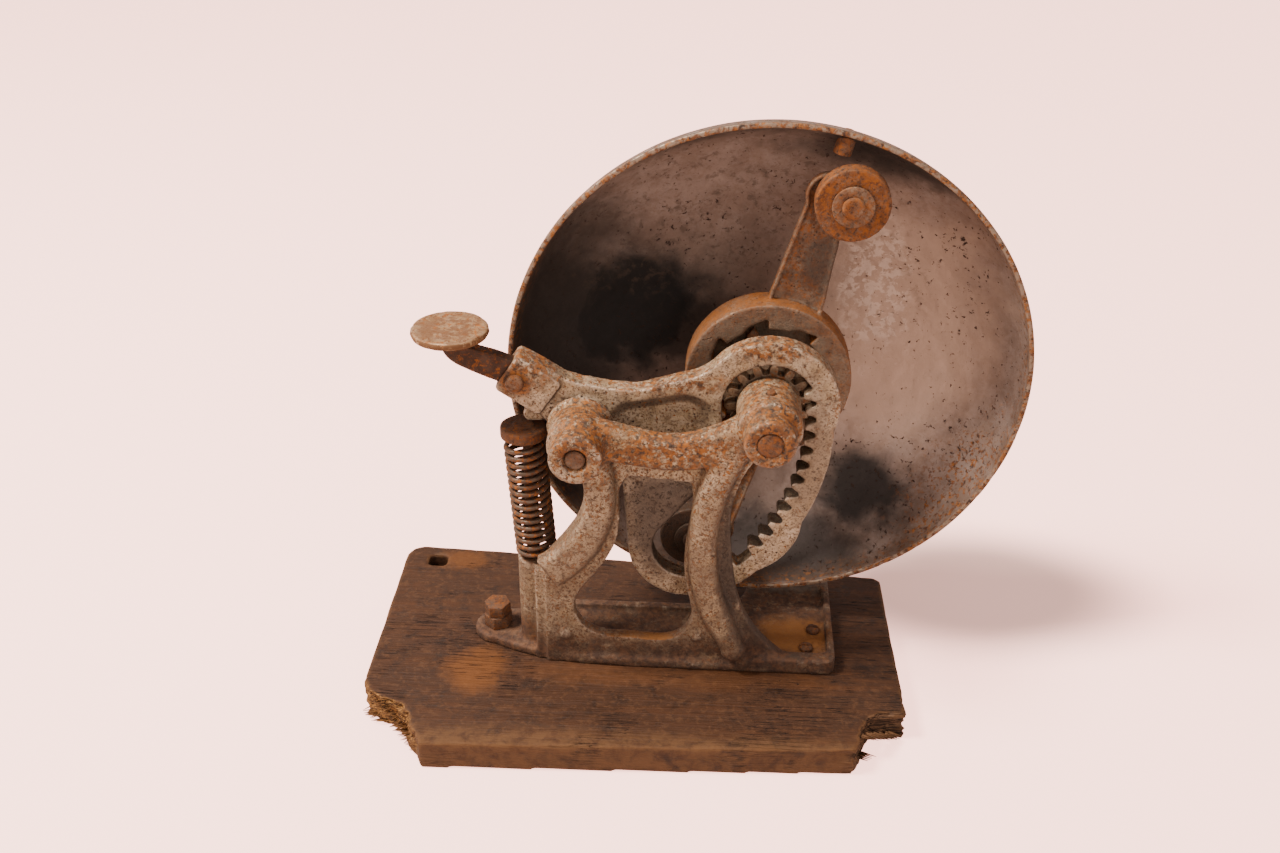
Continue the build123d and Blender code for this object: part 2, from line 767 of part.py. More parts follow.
def foot_screws():
    pieces = []
    for x, y in screw_places():
        head = upright(x, y, screw_head_radius, nut_seat, nut_seat + screw_head_height)
        head = fillet(head.edges().filter_by(GeomType.CIRCLE).sort_by(Axis.Z)[-1], 2)
        head -= Pos(x, y, nut_seat + screw_head_height - 0.5) * Box(2 * screw_head_radius, 1.1, 2)
        pieces.append(head + upright(x, y, screw_radius, ground - 14, nut_seat))
    return pieces


def foot_bolt():
    nut_top = nut_seat + bolt_nut_height
    head = Pos(ear_x, ear_y, nut_top) * extrude(hexagon(bolt_hex), amount=bolt_head_height)
    return head + upright(ear_x, ear_y, bolt_radius, ground - board_thickness + 1.5, nut_top)


def foot_bolt_nut():
    nut = Pos(ear_x, ear_y, nut_seat) * Rot(0, 0, 20) * extrude(hexagon(bolt_hex + 1), amount=bolt_nut_height)
    return nut - upright(ear_x, ear_y, bolt_radius + static_fit, nut_seat - 1, nut_seat + bolt_nut_height + 1)


# ---- lever pin, pedal and spring ----
def lever_pin():
    pin = barrel(*pivot, pin_radius, boss_front + 1.2, lever_back + lever_hub_back + 7.2)
    pin = chamfer(pin.edges().filter_by(GeomType.CIRCLE), 0.8)
    return pin - cotter_body(static_fit)


def lever_pin_washer():
    back = pin_washer_front + pin_washer_thickness
    return tube(*pivot, pin_washer_radius, pin_radius + static_fit, pin_washer_front, back)


def cotter_body(extra=0.0):
    return upright(pivot[0], cotter_y, cotter_radius + extra, pivot[1] - 13, pivot[1] + 9)


def lever_pin_cotter():
    eye = Pos(pivot[0], cotter_y, pivot[1] + 11) * Rot(90, 0, 0) * Torus(2.6, 1.0)
    return cotter_body() + eye


def bar_path():
    middle = socket_middle()
    x, y, z = button_place
    return [
        (middle[0] + 6, middle[1] - 4), (middle[0] - 15, middle[1] + 8.4), (middle[0] - 29, middle[1] + 13.5),
        (x + 2, z - 8.5), (x, z),
    ]


def pedal_bar():
    """A flat bar: straight in the socket, then curved up to the button."""
    bar = slab(limb(bar_path(), bar_widths), bar_front, bar_front + bar_thickness)
    x, y, z = button_place
    trim = Pos(x, y, z + 20) * Box(80, 80, 40)
    return bar - trim


def pedal_button():
    x, y, z = button_place
    button = upright(x, y, button_radius, z, z + button_thickness)
    top = button.edges().filter_by(GeomType.CIRCLE).sort_by(Axis.Z)[-1]
    return chamfer(top, 1.6)


def pedal_set_screw():
    spot = screw_place()
    front = lever_front - socket_proud
    screw = barrel(*spot, 5.2, front - 4, front)
    screw = fillet(screw.edges().filter_by(GeomType.CIRCLE).sort_by(Axis.Y)[0], 1.5)
    return screw + barrel(*spot, set_screw_radius, front, bar_front - 0.1)


def return_spring():
    height = spring_top - spring_seat - 2 * spring_wire
    coil = Helix(pitch=height / spring_turns, height=height, radius=spring_radius)
    section = Plane(origin=coil @ 0, z_dir=coil % 0) * Circle(spring_wire)
    wire = sweep(section, path=coil, is_frenet=True)
    lean = -degrees(atan2(spring_lean, height))
    return Pos(post_x + 2, post_y, spring_seat + spring_wire) * Rot(0, lean, 0) * wire


def spring_cap():
    low = spring_top + 0.2
    plate = upright(post_x - 3, post_y, cap_radius, low, low + cap_thickness)
    rims = plate.edges().filter_by(GeomType.CIRCLE)
    plate = fillet(rims, 1.2)
    plate += upright(post_x - 3, post_y, 6, low + cap_thickness - 1, low + cap_thickness + 1.5)
    return plate - upright(post_x, post_y, rod_radius + static_fit, low - 1, low + cap_thickness - 1.5)


def spring_rod():
    return upright(post_x, post_y, rod_radius, post_top - 6, spring_top + 0.2 + cap_thickness - 1.6)


# ---- board ----
def board_outline():
    """Seen from above, with both front corners broken off."""
    return Polyline(
        (-226, 63.5), (-232, 61), (-235.5, 55), (-236.4, 46), (-235.8, -36), (-236, -79), (-233, -88),
        (-222, -95), (-211.4, -98.6), (-205, -106), (-203.2, -115.2), (-196, -124), (-193.1, -131),
        (-112, -128.5), (-32, -125.8), (56, -121.5), (60.6, -112), (62, -104), (66.9, -92.5), (78, -90),
        (88.5, -89), (86, -20), (84.7, 42), (80, 46), close=True,
    )


def mounting_board():
    board = extrude(make_face(board_outline()), amount=board_thickness)
    board = Pos(0, 0, ground - board_thickness) * board
    board -= upright(ear_x, ear_y, bolt_radius + 0.1, ground - board_thickness - 1, ground + 1)
    for spot in screw_places():
        board -= upright(*spot, screw_radius + 0.1, ground - 15, ground + 1)
    board -= Pos(-213.5, 47.5, ground - board_thickness / 2) * Box(12, 11, board_thickness + 2)
    return board


nodes = {
    "mounting_board": mounting_board(),
    "frame_casting": frame_casting(),
    "foot_bolt": foot_bolt(),
    "foot_bolt_nut": foot_bolt_nut(),
    "foot_screws": Compound(foot_screws()),
    "lever_pin": lever_pin(),
    "lever_pin_washer": lever_pin_washer(),
    "lever_pin_cotter": lever_pin_cotter(),
    "main_shaft": main_shaft(),
    "shaft_lock_pin": lock_pin_body(),
    "thrust_washer": thrust_washer(),
    "gear_lever": gear_lever(),
    "pedal_bar": pedal_bar(),
    "pedal_button": pedal_button(),
    "pedal_set_screw": pedal_set_screw(),
    "return_spring": return_spring(),
    "spring_cap": spring_cap(),
    "spring_rod": spring_rod(),
    "pinion_gear": pinion_gear(),
    "pawl_carrier": pawl_carrier(),
    "pawl_pins": Compound(pawl_pins()),
    "pawl_springs": Compound(pawl_springs()),
    "striker": striker(),
    "hammer_rivets": Compound(hammer_rivets()),
    "hammer_washers": Compound(hammer_washers()),
    "bell_spacer": bell_spacer(),
    "bell": bell(),
    "bell_stud": bell_stud(),
    "bell_inner_washer": bell_inner_washer(),
    "bell_outer_washer": bell_outer_washer(),
    "bell_nut": bell_nut(),
}
for name, pawl in zip(("pawl_upper", "pawl_lower"), pawls()):
    nodes[name] = pawl
for name, spot in zip(("hammer_upper", "hammer_lower"), hammer_pins()):
    nodes[name] = hammer(spot)

os.makedirs("parts", exist_ok=True)
for name, piece in nodes.items():
    export_step(stand(piece), f"parts/{name}.step")
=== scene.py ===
import bpy
import bmesh
import json
from math import sin, cos, pi, radians
from mathutils import Matrix, Vector, noise


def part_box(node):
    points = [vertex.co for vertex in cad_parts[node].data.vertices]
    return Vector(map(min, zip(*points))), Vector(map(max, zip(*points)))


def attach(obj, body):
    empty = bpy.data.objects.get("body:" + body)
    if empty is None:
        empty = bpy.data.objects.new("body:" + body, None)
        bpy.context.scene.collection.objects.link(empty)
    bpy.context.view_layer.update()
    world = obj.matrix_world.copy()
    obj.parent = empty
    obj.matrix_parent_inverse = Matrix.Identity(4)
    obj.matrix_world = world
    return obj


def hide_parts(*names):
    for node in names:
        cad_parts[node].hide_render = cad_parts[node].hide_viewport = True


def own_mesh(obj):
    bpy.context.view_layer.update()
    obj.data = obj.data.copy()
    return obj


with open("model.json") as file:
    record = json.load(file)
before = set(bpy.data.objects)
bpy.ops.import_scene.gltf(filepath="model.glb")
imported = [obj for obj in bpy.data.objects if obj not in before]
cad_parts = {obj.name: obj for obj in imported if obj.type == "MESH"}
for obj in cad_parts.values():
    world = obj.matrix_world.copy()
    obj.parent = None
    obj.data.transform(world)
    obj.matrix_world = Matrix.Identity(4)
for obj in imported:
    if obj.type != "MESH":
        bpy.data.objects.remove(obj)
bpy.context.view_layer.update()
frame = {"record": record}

mm = 0.001
weld = 0.002 * mm
scene = bpy.context.scene


# ---- shared surface groups --------------------------------------------------

def new_group(name, inputs, outputs):
    group = bpy.data.node_groups.new(name, "ShaderNodeTree")
    for label, kind, value in inputs:
        socket = group.interface.new_socket(label, in_out="INPUT", socket_type=kind)
        if value is not None:
            socket.default_value = value
    for label, kind in outputs:
        group.interface.new_socket(label, in_out="OUTPUT", socket_type=kind)
    source = group.nodes.new("NodeGroupInput")
    sink = group.nodes.new("NodeGroupOutput")
    return group, source.outputs, sink.inputs


def feed(tree, socket, value):
    if isinstance(value, bpy.types.NodeSocket):
        tree.links.new(value, socket)
    else:
        socket.default_value = value


def sums(tree, operation, a, b=0.0, clamp=False):
    node = tree.nodes.new("ShaderNodeMath")
    node.operation = operation
    node.use_clamp = clamp
    feed(tree, node.inputs[0], a)
    feed(tree, node.inputs[1], b)
    return node.outputs[0]


def ramped(tree, value, low, high, out_low=0.0, out_high=1.0):
    node = tree.nodes.new("ShaderNodeMapRange")
    node.interpolation_type = "SMOOTHSTEP"
    feed(tree, node.inputs["Value"], value)
    feed(tree, node.inputs["From Min"], low)
    feed(tree, node.inputs["From Max"], high)
    feed(tree, node.inputs["To Min"], out_low)
    feed(tree, node.inputs["To Max"], out_high)
    return node.outputs[0]


def cloudy(tree, place, scale, detail=4.0, rough=0.55, warp=0.0):
    node = tree.nodes.new("ShaderNodeTexNoise")
    feed(tree, node.inputs["Vector"], place)
    feed(tree, node.inputs["Scale"], scale)
    feed(tree, node.inputs["Detail"], detail)
    feed(tree, node.inputs["Roughness"], rough)
    feed(tree, node.inputs["Distortion"], warp)
    return node.outputs["Fac"]


def spots_group():
    """Ragged spots of a given size that cover a given share of the surface."""
    group, given, out = new_group(
        "ragged_spots",
        [("Place", "NodeSocketVector", None), ("Size", "NodeSocketFloat", 0.004),
         ("Cover", "NodeSocketFloat", 0.3), ("Softness", "NodeSocketFloat", 0.04)],
        [("Mask", "NodeSocketFloat")],
    )
    scale = sums(group, "DIVIDE", 1.0, given["Size"])
    field = cloudy(group, given["Place"], scale, 6.0, 0.66, 0.35)
    edge = sums(group, "SUBTRACT", 0.68, sums(group, "MULTIPLY", given["Cover"], 0.36))
    low = sums(group, "SUBTRACT", edge, given["Softness"])
    high = sums(group, "ADD", edge, given["Softness"])
    group.links.new(ramped(group, field, low, high), out["Mask"])
    return group


def grain_group():
    """Sand-cast skin: fine grain, soft lumps and a few pits."""
    group, given, out = new_group(
        "cast_grain",
        [("Place", "NodeSocketVector", None), ("Size", "NodeSocketFloat", 0.001),
         ("Pits", "NodeSocketFloat", 0.5)],
        [("Height", "NodeSocketFloat"), ("Pit Mask", "NodeSocketFloat")],
    )
    scale = sums(group, "DIVIDE", 1.0, given["Size"])
    fine = cloudy(group, given["Place"], scale, 3.0, 0.6)
    lumps = cloudy(group, given["Place"], sums(group, "MULTIPLY", scale, 0.22), 3.0, 0.5)
    cells = group.nodes.new("ShaderNodeTexVoronoi")
    feed(group, cells.inputs["Vector"], given["Place"])
    feed(group, cells.inputs["Scale"], sums(group, "MULTIPLY", scale, 0.4))
    pit = ramped(group, cells.outputs["Distance"], 0.12, 0.34, 1.0, 0.0)
    thinned = sums(group, "MULTIPLY", pit, ramped(group, lumps, 0.5, 0.62))
    depth = sums(group, "MULTIPLY", thinned, given["Pits"])
    total = sums(group, "ADD", sums(group, "MULTIPLY", fine, 0.45), sums(group, "MULTIPLY", lumps, 0.9))
    group.links.new(sums(group, "SUBTRACT", total, depth), out["Height"])
    group.links.new(thinned, out["Pit Mask"])
    return group


def rub_group():
    """Where hands and parts rub: outer edges, and the hollows that hold dirt."""
    group, given, out = new_group(
        "edges_and_hollows",
        [("Place", "NodeSocketVector", None), ("Reach", "NodeSocketFloat", 0.05),
         ("Break Up", "NodeSocketFloat", 0.004)],
        [("Edges", "NodeSocketFloat"), ("Hollows", "NodeSocketFloat")],
    )
    shape = group.nodes.new("ShaderNodeNewGeometry").outputs["Pointiness"]
    broken = cloudy(group, given["Place"], sums(group, "DIVIDE", 1.0, given["Break Up"]), 5.0, 0.65)
    shift = sums(group, "MULTIPLY", sums(group, "SUBTRACT", broken, 0.5), 0.09)
    level = sums(group, "ADD", shape, shift)
    group.links.new(ramped(group, level, 0.51, sums(group, "ADD", 0.51, given["Reach"])), out["Edges"])
    group.links.new(ramped(group, level, sums(group, "SUBTRACT", 0.49, given["Reach"]), 0.49, 1.0, 0.0),
                    out["Hollows"])
    return group


def patch_group():
    """A soft, ragged patch at one place on a piece."""
    group, given, out = new_group(
        "patch",
        [("Place", "NodeSocketVector", None), ("Centre", "NodeSocketVector", (0, 0, 0)),
         ("Reach", "NodeSocketVector", (0.03, 0.03, 0.03)), ("Ragged", "NodeSocketFloat", 0.5),
         ("Grain", "NodeSocketFloat", 0.02)],
        [("Mask", "NodeSocketFloat")],
    )
    offset = group.nodes.new("ShaderNodeVectorMath")
    offset.operation = "SUBTRACT"
    feed(group, offset.inputs[0], given["Place"])
    feed(group, offset.inputs[1], given["Centre"])
    scaled = group.nodes.new("ShaderNodeVectorMath")
    scaled.operation = "DIVIDE"
    feed(group, scaled.inputs[0], offset.outputs[0])
    feed(group, scaled.inputs[1], given["Reach"])
    size = group.nodes.new("ShaderNodeVectorMath")
    size.operation = "LENGTH"
    feed(group, size.inputs[0], scaled.outputs[0])
    field = cloudy(group, given["Place"], sums(group, "DIVIDE", 1.0, given["Grain"]), 5.0, 0.6, 0.4)
    sway = sums(group, "MULTIPLY", given["Ragged"], 2.6)
    shift = sums(group, "MULTIPLY", sums(group, "SUBTRACT", field, 0.5), sway)
    level = sums(group, "ADD", size.outputs["Value"], shift)
    group.links.new(ramped(group, level, 0.45, 1.15, 1.0, 0.0), out["Mask"])
    return group


def fibre_group():
    """Wood fibres that run along X."""
    group, given, out = new_group(
        "wood_fibre",
        [("Place", "NodeSocketVector", None), ("Width", "NodeSocketFloat", 0.001)],
        [("Fibres", "NodeSocketFloat"), ("Bands", "NodeSocketFloat"), ("Checks", "NodeSocketFloat")],
    )
    stretch = group.nodes.new("ShaderNodeMapping")
    feed(group, stretch.inputs["Vector"], given["Place"])
    stretch.inputs["Scale"].default_value = (0.045, 1.0, 1.0)
    scale = sums(group, "DIVIDE", 1.0, given["Width"])
    fibres = cloudy(group, stretch.outputs[0], scale, 5.0, 0.62, 0.3)
    bands = cloudy(group, stretch.outputs[0], sums(group, "MULTIPLY", scale, 0.16), 3.0, 0.5, 0.8)
    crack = cloudy(group, stretch.outputs[0], sums(group, "MULTIPLY", scale, 0.42), 2.0, 0.5, 0.5)
    ridge = sums(group, "ABSOLUTE", sums(group, "SUBTRACT", crack, 0.5))
    thin = ramped(group, ridge, 0.004, 0.022, 1.0, 0.0)
    sparse = ramped(group, cloudy(group, given["Place"], 28.0, 3.0), 0.5, 0.6)
    group.links.new(fibres, out["Fibres"])
    group.links.new(bands, out["Bands"])
    group.links.new(sums(group, "MULTIPLY", thin, sparse), out["Checks"])
    return group


ragged_spots = spots_group()
cast_grain = grain_group()
edges_and_hollows = rub_group()
patch = patch_group()
wood_fibre = fibre_group()


# ---- finishes ---------------------------------------------------------------

class Finish:
    """One material, built up in coats from the bare surface outwards."""

    def __init__(self, name, colour, roughness, metallic=0.0, specular=0.5, strength=1.45, depth=0.80):
        self.strength = strength
        self.depth = depth
        self.material = bpy.data.materials.new(name)
        self.material.use_nodes = True
        self.tree = self.material.node_tree
        self.shader = self.tree.nodes["Principled BSDF"]
        self.shader.inputs["Specular IOR Level"].default_value = specular
        coordinates = self.tree.nodes.new("ShaderNodeTexCoord")
        self.place = coordinates.outputs["Object"]
        self.normal = coordinates.outputs["Normal"]
        self.colour = self.mixed(colour)
        self.roughness = roughness
        self.metallic = metallic
        self.heights = []

    def mixed(self, colour):
        """A pigment as it has to be mixed: stronger and deeper, because soft light washes it out."""
        grey = sum(colour) / 3
        stronger = [max(0.002, grey + (part - grey) * self.strength) for part in colour]
        return tuple(min(1.0, part * self.depth) for part in stronger)

    def use(self, group, **values):
        node = self.tree.nodes.new("ShaderNodeGroup")
        node.node_tree = group
        feed(self.tree, node.inputs["Place"], values.pop("Place", self.place))
        for label, value in values.items():
            feed(self.tree, node.inputs[label.replace("_", " ")], value)
        return node.outputs

    def spots(self, size, cover, softness=0.04, seed=0.0):
        place = self.place
        if seed:
            shift = self.tree.nodes.new("ShaderNodeMapping")
            shift.inputs["Location"].default_value = (seed, seed * 0.7, -seed)
            feed(self.tree, shift.inputs["Vector"], self.place)
            place = shift.outputs[0]
        return self.use(ragged_spots, Place=place, Size=size, Cover=cover, Softness=softness)["Mask"]

    def patch(self, centre, reach, ragged=0.5, grain=0.02):
        return self.use(patch, Centre=centre, Reach=reach, Ragged=ragged, Grain=grain)["Mask"]

    def facing(self, axis, low, high):
        split = self.tree.nodes.new("ShaderNodeSeparateXYZ")
        feed(self.tree, split.inputs[0], self.normal)
        return ramped(self.tree, split.outputs[axis], low, high)

    def along(self, axis, low, high):
        split = self.tree.nodes.new("ShaderNodeSeparateXYZ")
        feed(self.tree, split.inputs[0], self.place)
        return ramped(self.tree, split.outputs[axis], low, high)

    def times(self, a, b):
        return sums(self.tree, "MULTIPLY", a, b)

    def either(self, a, b):
        return sums(self.tree, "MAXIMUM", a, b)

    def without(self, a, b):
        return sums(self.tree, "MULTIPLY", a, sums(self.tree, "SUBTRACT", 1.0, b, True))

    def blend_of(self, mask, low, high):
        mix = self.tree.nodes.new("ShaderNodeMix")
        mix.data_type = "RGBA"
        mix.clamp_factor = True
        feed(self.tree, mix.inputs[0], mask)
        for socket, value in ((mix.inputs[6], low), (mix.inputs[7], high)):
            if isinstance(value, tuple):
                value = (*value, 1.0)
            feed(self.tree, socket, value)
        return mix.outputs[2]

    def coat(self, mask, colour, roughness=None, metallic=None):
        if isinstance(colour, tuple):
            colour = self.mixed(colour)
        self.colour = self.blend_of(mask, self.colour, colour)
        for label, value in (("roughness", roughness), ("metallic", metallic)):
            if value is None:
                continue
            mix = self.tree.nodes.new("ShaderNodeMix")
            mix.data_type = "FLOAT"
            feed(self.tree, mix.inputs[0], mask)
            feed(self.tree, mix.inputs[2], getattr(self, label))
            feed(self.tree, mix.inputs[3], value)
            setattr(self, label, mix.outputs[0])

    def raised(self, height, depth):
        self.heights.append((height, depth))

    def done(self):
        normal = None
        for height, depth in self.heights:
            bump = self.tree.nodes.new("ShaderNodeBump")
            bump.inputs["Strength"].default_value = 1.0
            bump.inputs["Distance"].default_value = depth
            feed(self.tree, bump.inputs["Height"], height)
            if normal is not None:
                feed(self.tree, bump.inputs["Normal"], normal)
            normal = bump.outputs["Normal"]
        if normal is not None:
            feed(self.tree, self.shader.inputs["Normal"], normal)
        for label, value in (("Base Color", self.colour), ("Roughness", self.roughness),
                             ("Metallic", self.metallic)):
            if isinstance(value, tuple):
                value = (*value, 1.0)
            feed(self.tree, self.shader.inputs[label], value)
        return self.material


rust_orange = (0.30, 0.120, 0.032)
rust_brown = (0.12, 0.046, 0.019)
rust_dark = (0.032, 0.018, 0.012)
grime = (0.018, 0.012, 0.009)
old_grease = (0.012, 0.009, 0.007)


def rust_colours(finish, seed):
    """Rust is never one colour: brown, with orange bloom and dark scale."""
    bloom = finish.spots(0.006, 0.5, 0.16, seed + 3.1)
    scale = finish.spots(0.0026, 0.42, 0.07, seed + 5.7)
    first = finish.blend_of(bloom, finish.mixed(rust_brown), finish.mixed(rust_orange))
    return finish.blend_of(scale, first, finish.mixed(rust_dark))


def painted_iron(name, seed, speckle, heavy, dirty, tint=(0.60, 0.50, 0.375)):
    """Old silver-grey paint over cast iron, with rust coming through."""
    finish = Finish(name, tint, roughness=0.40, metallic=0.2, strength=1.35, depth=0.90)
    grain = finish.use(cast_grain, Size=0.0011, Pits=0.7)
    rub = finish.use(edges_and_hollows, Reach=0.045, Break_Up=0.005)
    finish.coat(finish.times(finish.spots(0.024, 0.55, 0.18, seed), 0.75), (0.44, 0.35, 0.25), 0.5)
    finish.coat(finish.times(finish.spots(0.008, 0.34, 0.12, seed + 1.3), 0.8), (0.20, 0.150, 0.105), 0.62)
    finish.coat(finish.times(finish.spots(0.014, 0.42, 0.2, seed + 8.2), 0.5), (0.40, 0.28, 0.15))
    finish.coat(finish.times(finish.spots(0.0013, 0.36, 0.06, seed + 9.2), 0.75), (0.085, 0.058, 0.040))
    # painted shade: faces that turn downwards are darkened
    painted_shade_downward_faces = finish.facing(2, 0.08, -0.55)
    finish.coat(finish.times(painted_shade_downward_faces, 0.88), (0.070, 0.055, 0.044), 0.7)
    # painted shade: faces that turn to +X, away from the key lamp, are darkened in patches
    painted_shade_right_faces = finish.times(finish.facing(0, 0.0, 0.7), finish.spots(0.012, 0.8, 0.2, seed + 5.2))
    finish.coat(finish.times(painted_shade_right_faces, 0.6), (0.075, 0.060, 0.050), 0.6)
    dirt = finish.either(rub["Hollows"], grain["Pit Mask"])
    finish.coat(finish.times(dirt, dirty), grime, 0.8)
    top = finish.facing(2, 0.1, 0.85)
    fine = finish.spots(0.0020, speckle + 0.06, 0.035, seed + 2.2)
    broad = finish.times(finish.spots(0.007, speckle * 0.6, 0.05, seed + 4.4), 0.8)
    upper = finish.times(finish.spots(0.0036, speckle + 0.24, 0.07, seed + 6.1), top)
    rust = finish.either(finish.either(fine, broad), upper)
    for centre, reach, share in heavy:
        place = finish.patch(centre, reach, 0.45, 0.012)
        rust = finish.either(rust, finish.times(place, finish.spots(0.0034, share, 0.08, seed + 7.7)))
    edge = finish.times(rub["Edges"], finish.spots(0.006, 0.7, 0.12, seed + 9.9))
    finish.coat(finish.times(edge, 0.75), (0.78, 0.68, 0.56), 0.32, 0.5)
    finish.coat(finish.times(rust, 0.93), rust_colours(finish, seed), 0.82, 0.0)
    finish.raised(grain["Height"], 0.00046)
    finish.raised(rust, 0.00016)
    return finish


def rusted(name, seed, bare=(0.24, 0.20, 0.165), cover=0.62, orange=0.4, grain_size=0.0009, bright_edge=0.3):
    """Bare iron or steel, mostly rusted."""
    finish = Finish(name, bare, 0.5, 0.5)
    grain = finish.use(cast_grain, Size=grain_size, Pits=1.0)
    rub = finish.use(edges_and_hollows, Reach=0.05, Break_Up=0.003)
    finish.coat(finish.spots(0.010, 0.5, 0.15, seed), (0.115, 0.085, 0.064), 0.7, 0.15)
    film = finish.spots(0.012, cover, 0.2, seed + 1.7)
    finish.coat(finish.times(film, 0.85), rust_brown, 0.82, 0.0)
    fine = finish.spots(0.0016, cover, 0.12, seed + 2.9)
    finish.coat(finish.times(fine, 0.85), rust_colours(finish, seed), 0.88, 0.0)
    finish.coat(finish.times(finish.spots(0.005, orange, 0.14, seed + 4.1), 0.7), rust_orange, 0.9, 0.0)
    finish.coat(finish.times(finish.either(rub["Hollows"], grain["Pit Mask"]), 0.75), rust_dark, 0.85)
    edge = finish.times(rub["Edges"], finish.spots(0.004, 0.6, 0.12, seed + 6.3))
    finish.coat(finish.times(edge, bright_edge), (0.42, 0.32, 0.24), 0.42, 0.5)
    finish.raised(grain["Height"], 0.00034)
    finish.raised(fine, 0.0001)
    return finish


def worn(name, seed, bare, dark, rust_cover, roughness=0.42, size=0.0007):
    """Handled steel: dull metal with stains and a little rust."""
    finish = Finish(name, bare, roughness, 0.75)
    grain = finish.use(cast_grain, Size=size, Pits=0.5)
    rub = finish.use(edges_and_hollows, Reach=0.06, Break_Up=0.002)
    finish.coat(finish.spots(0.007, 0.55, 0.14, seed), dark, roughness + 0.2, 0.4)
    finish.coat(finish.spots(0.0018, rust_cover, 0.08, seed + 2.1), rust_brown, 0.85, 0.0)
    finish.coat(finish.spots(0.004, rust_cover * 0.8, 0.08, seed + 3.3), rust_orange, 0.88, 0.0)
    finish.coat(finish.times(rub["Hollows"], 0.85), grime, 0.75, 0.0)
    finish.coat(finish.times(rub["Edges"], 0.25), tuple(min(1.0, 1.4 * c) for c in bare), 0.34, 0.85)
    finish.raised(grain["Height"], 0.00014)
    return finish


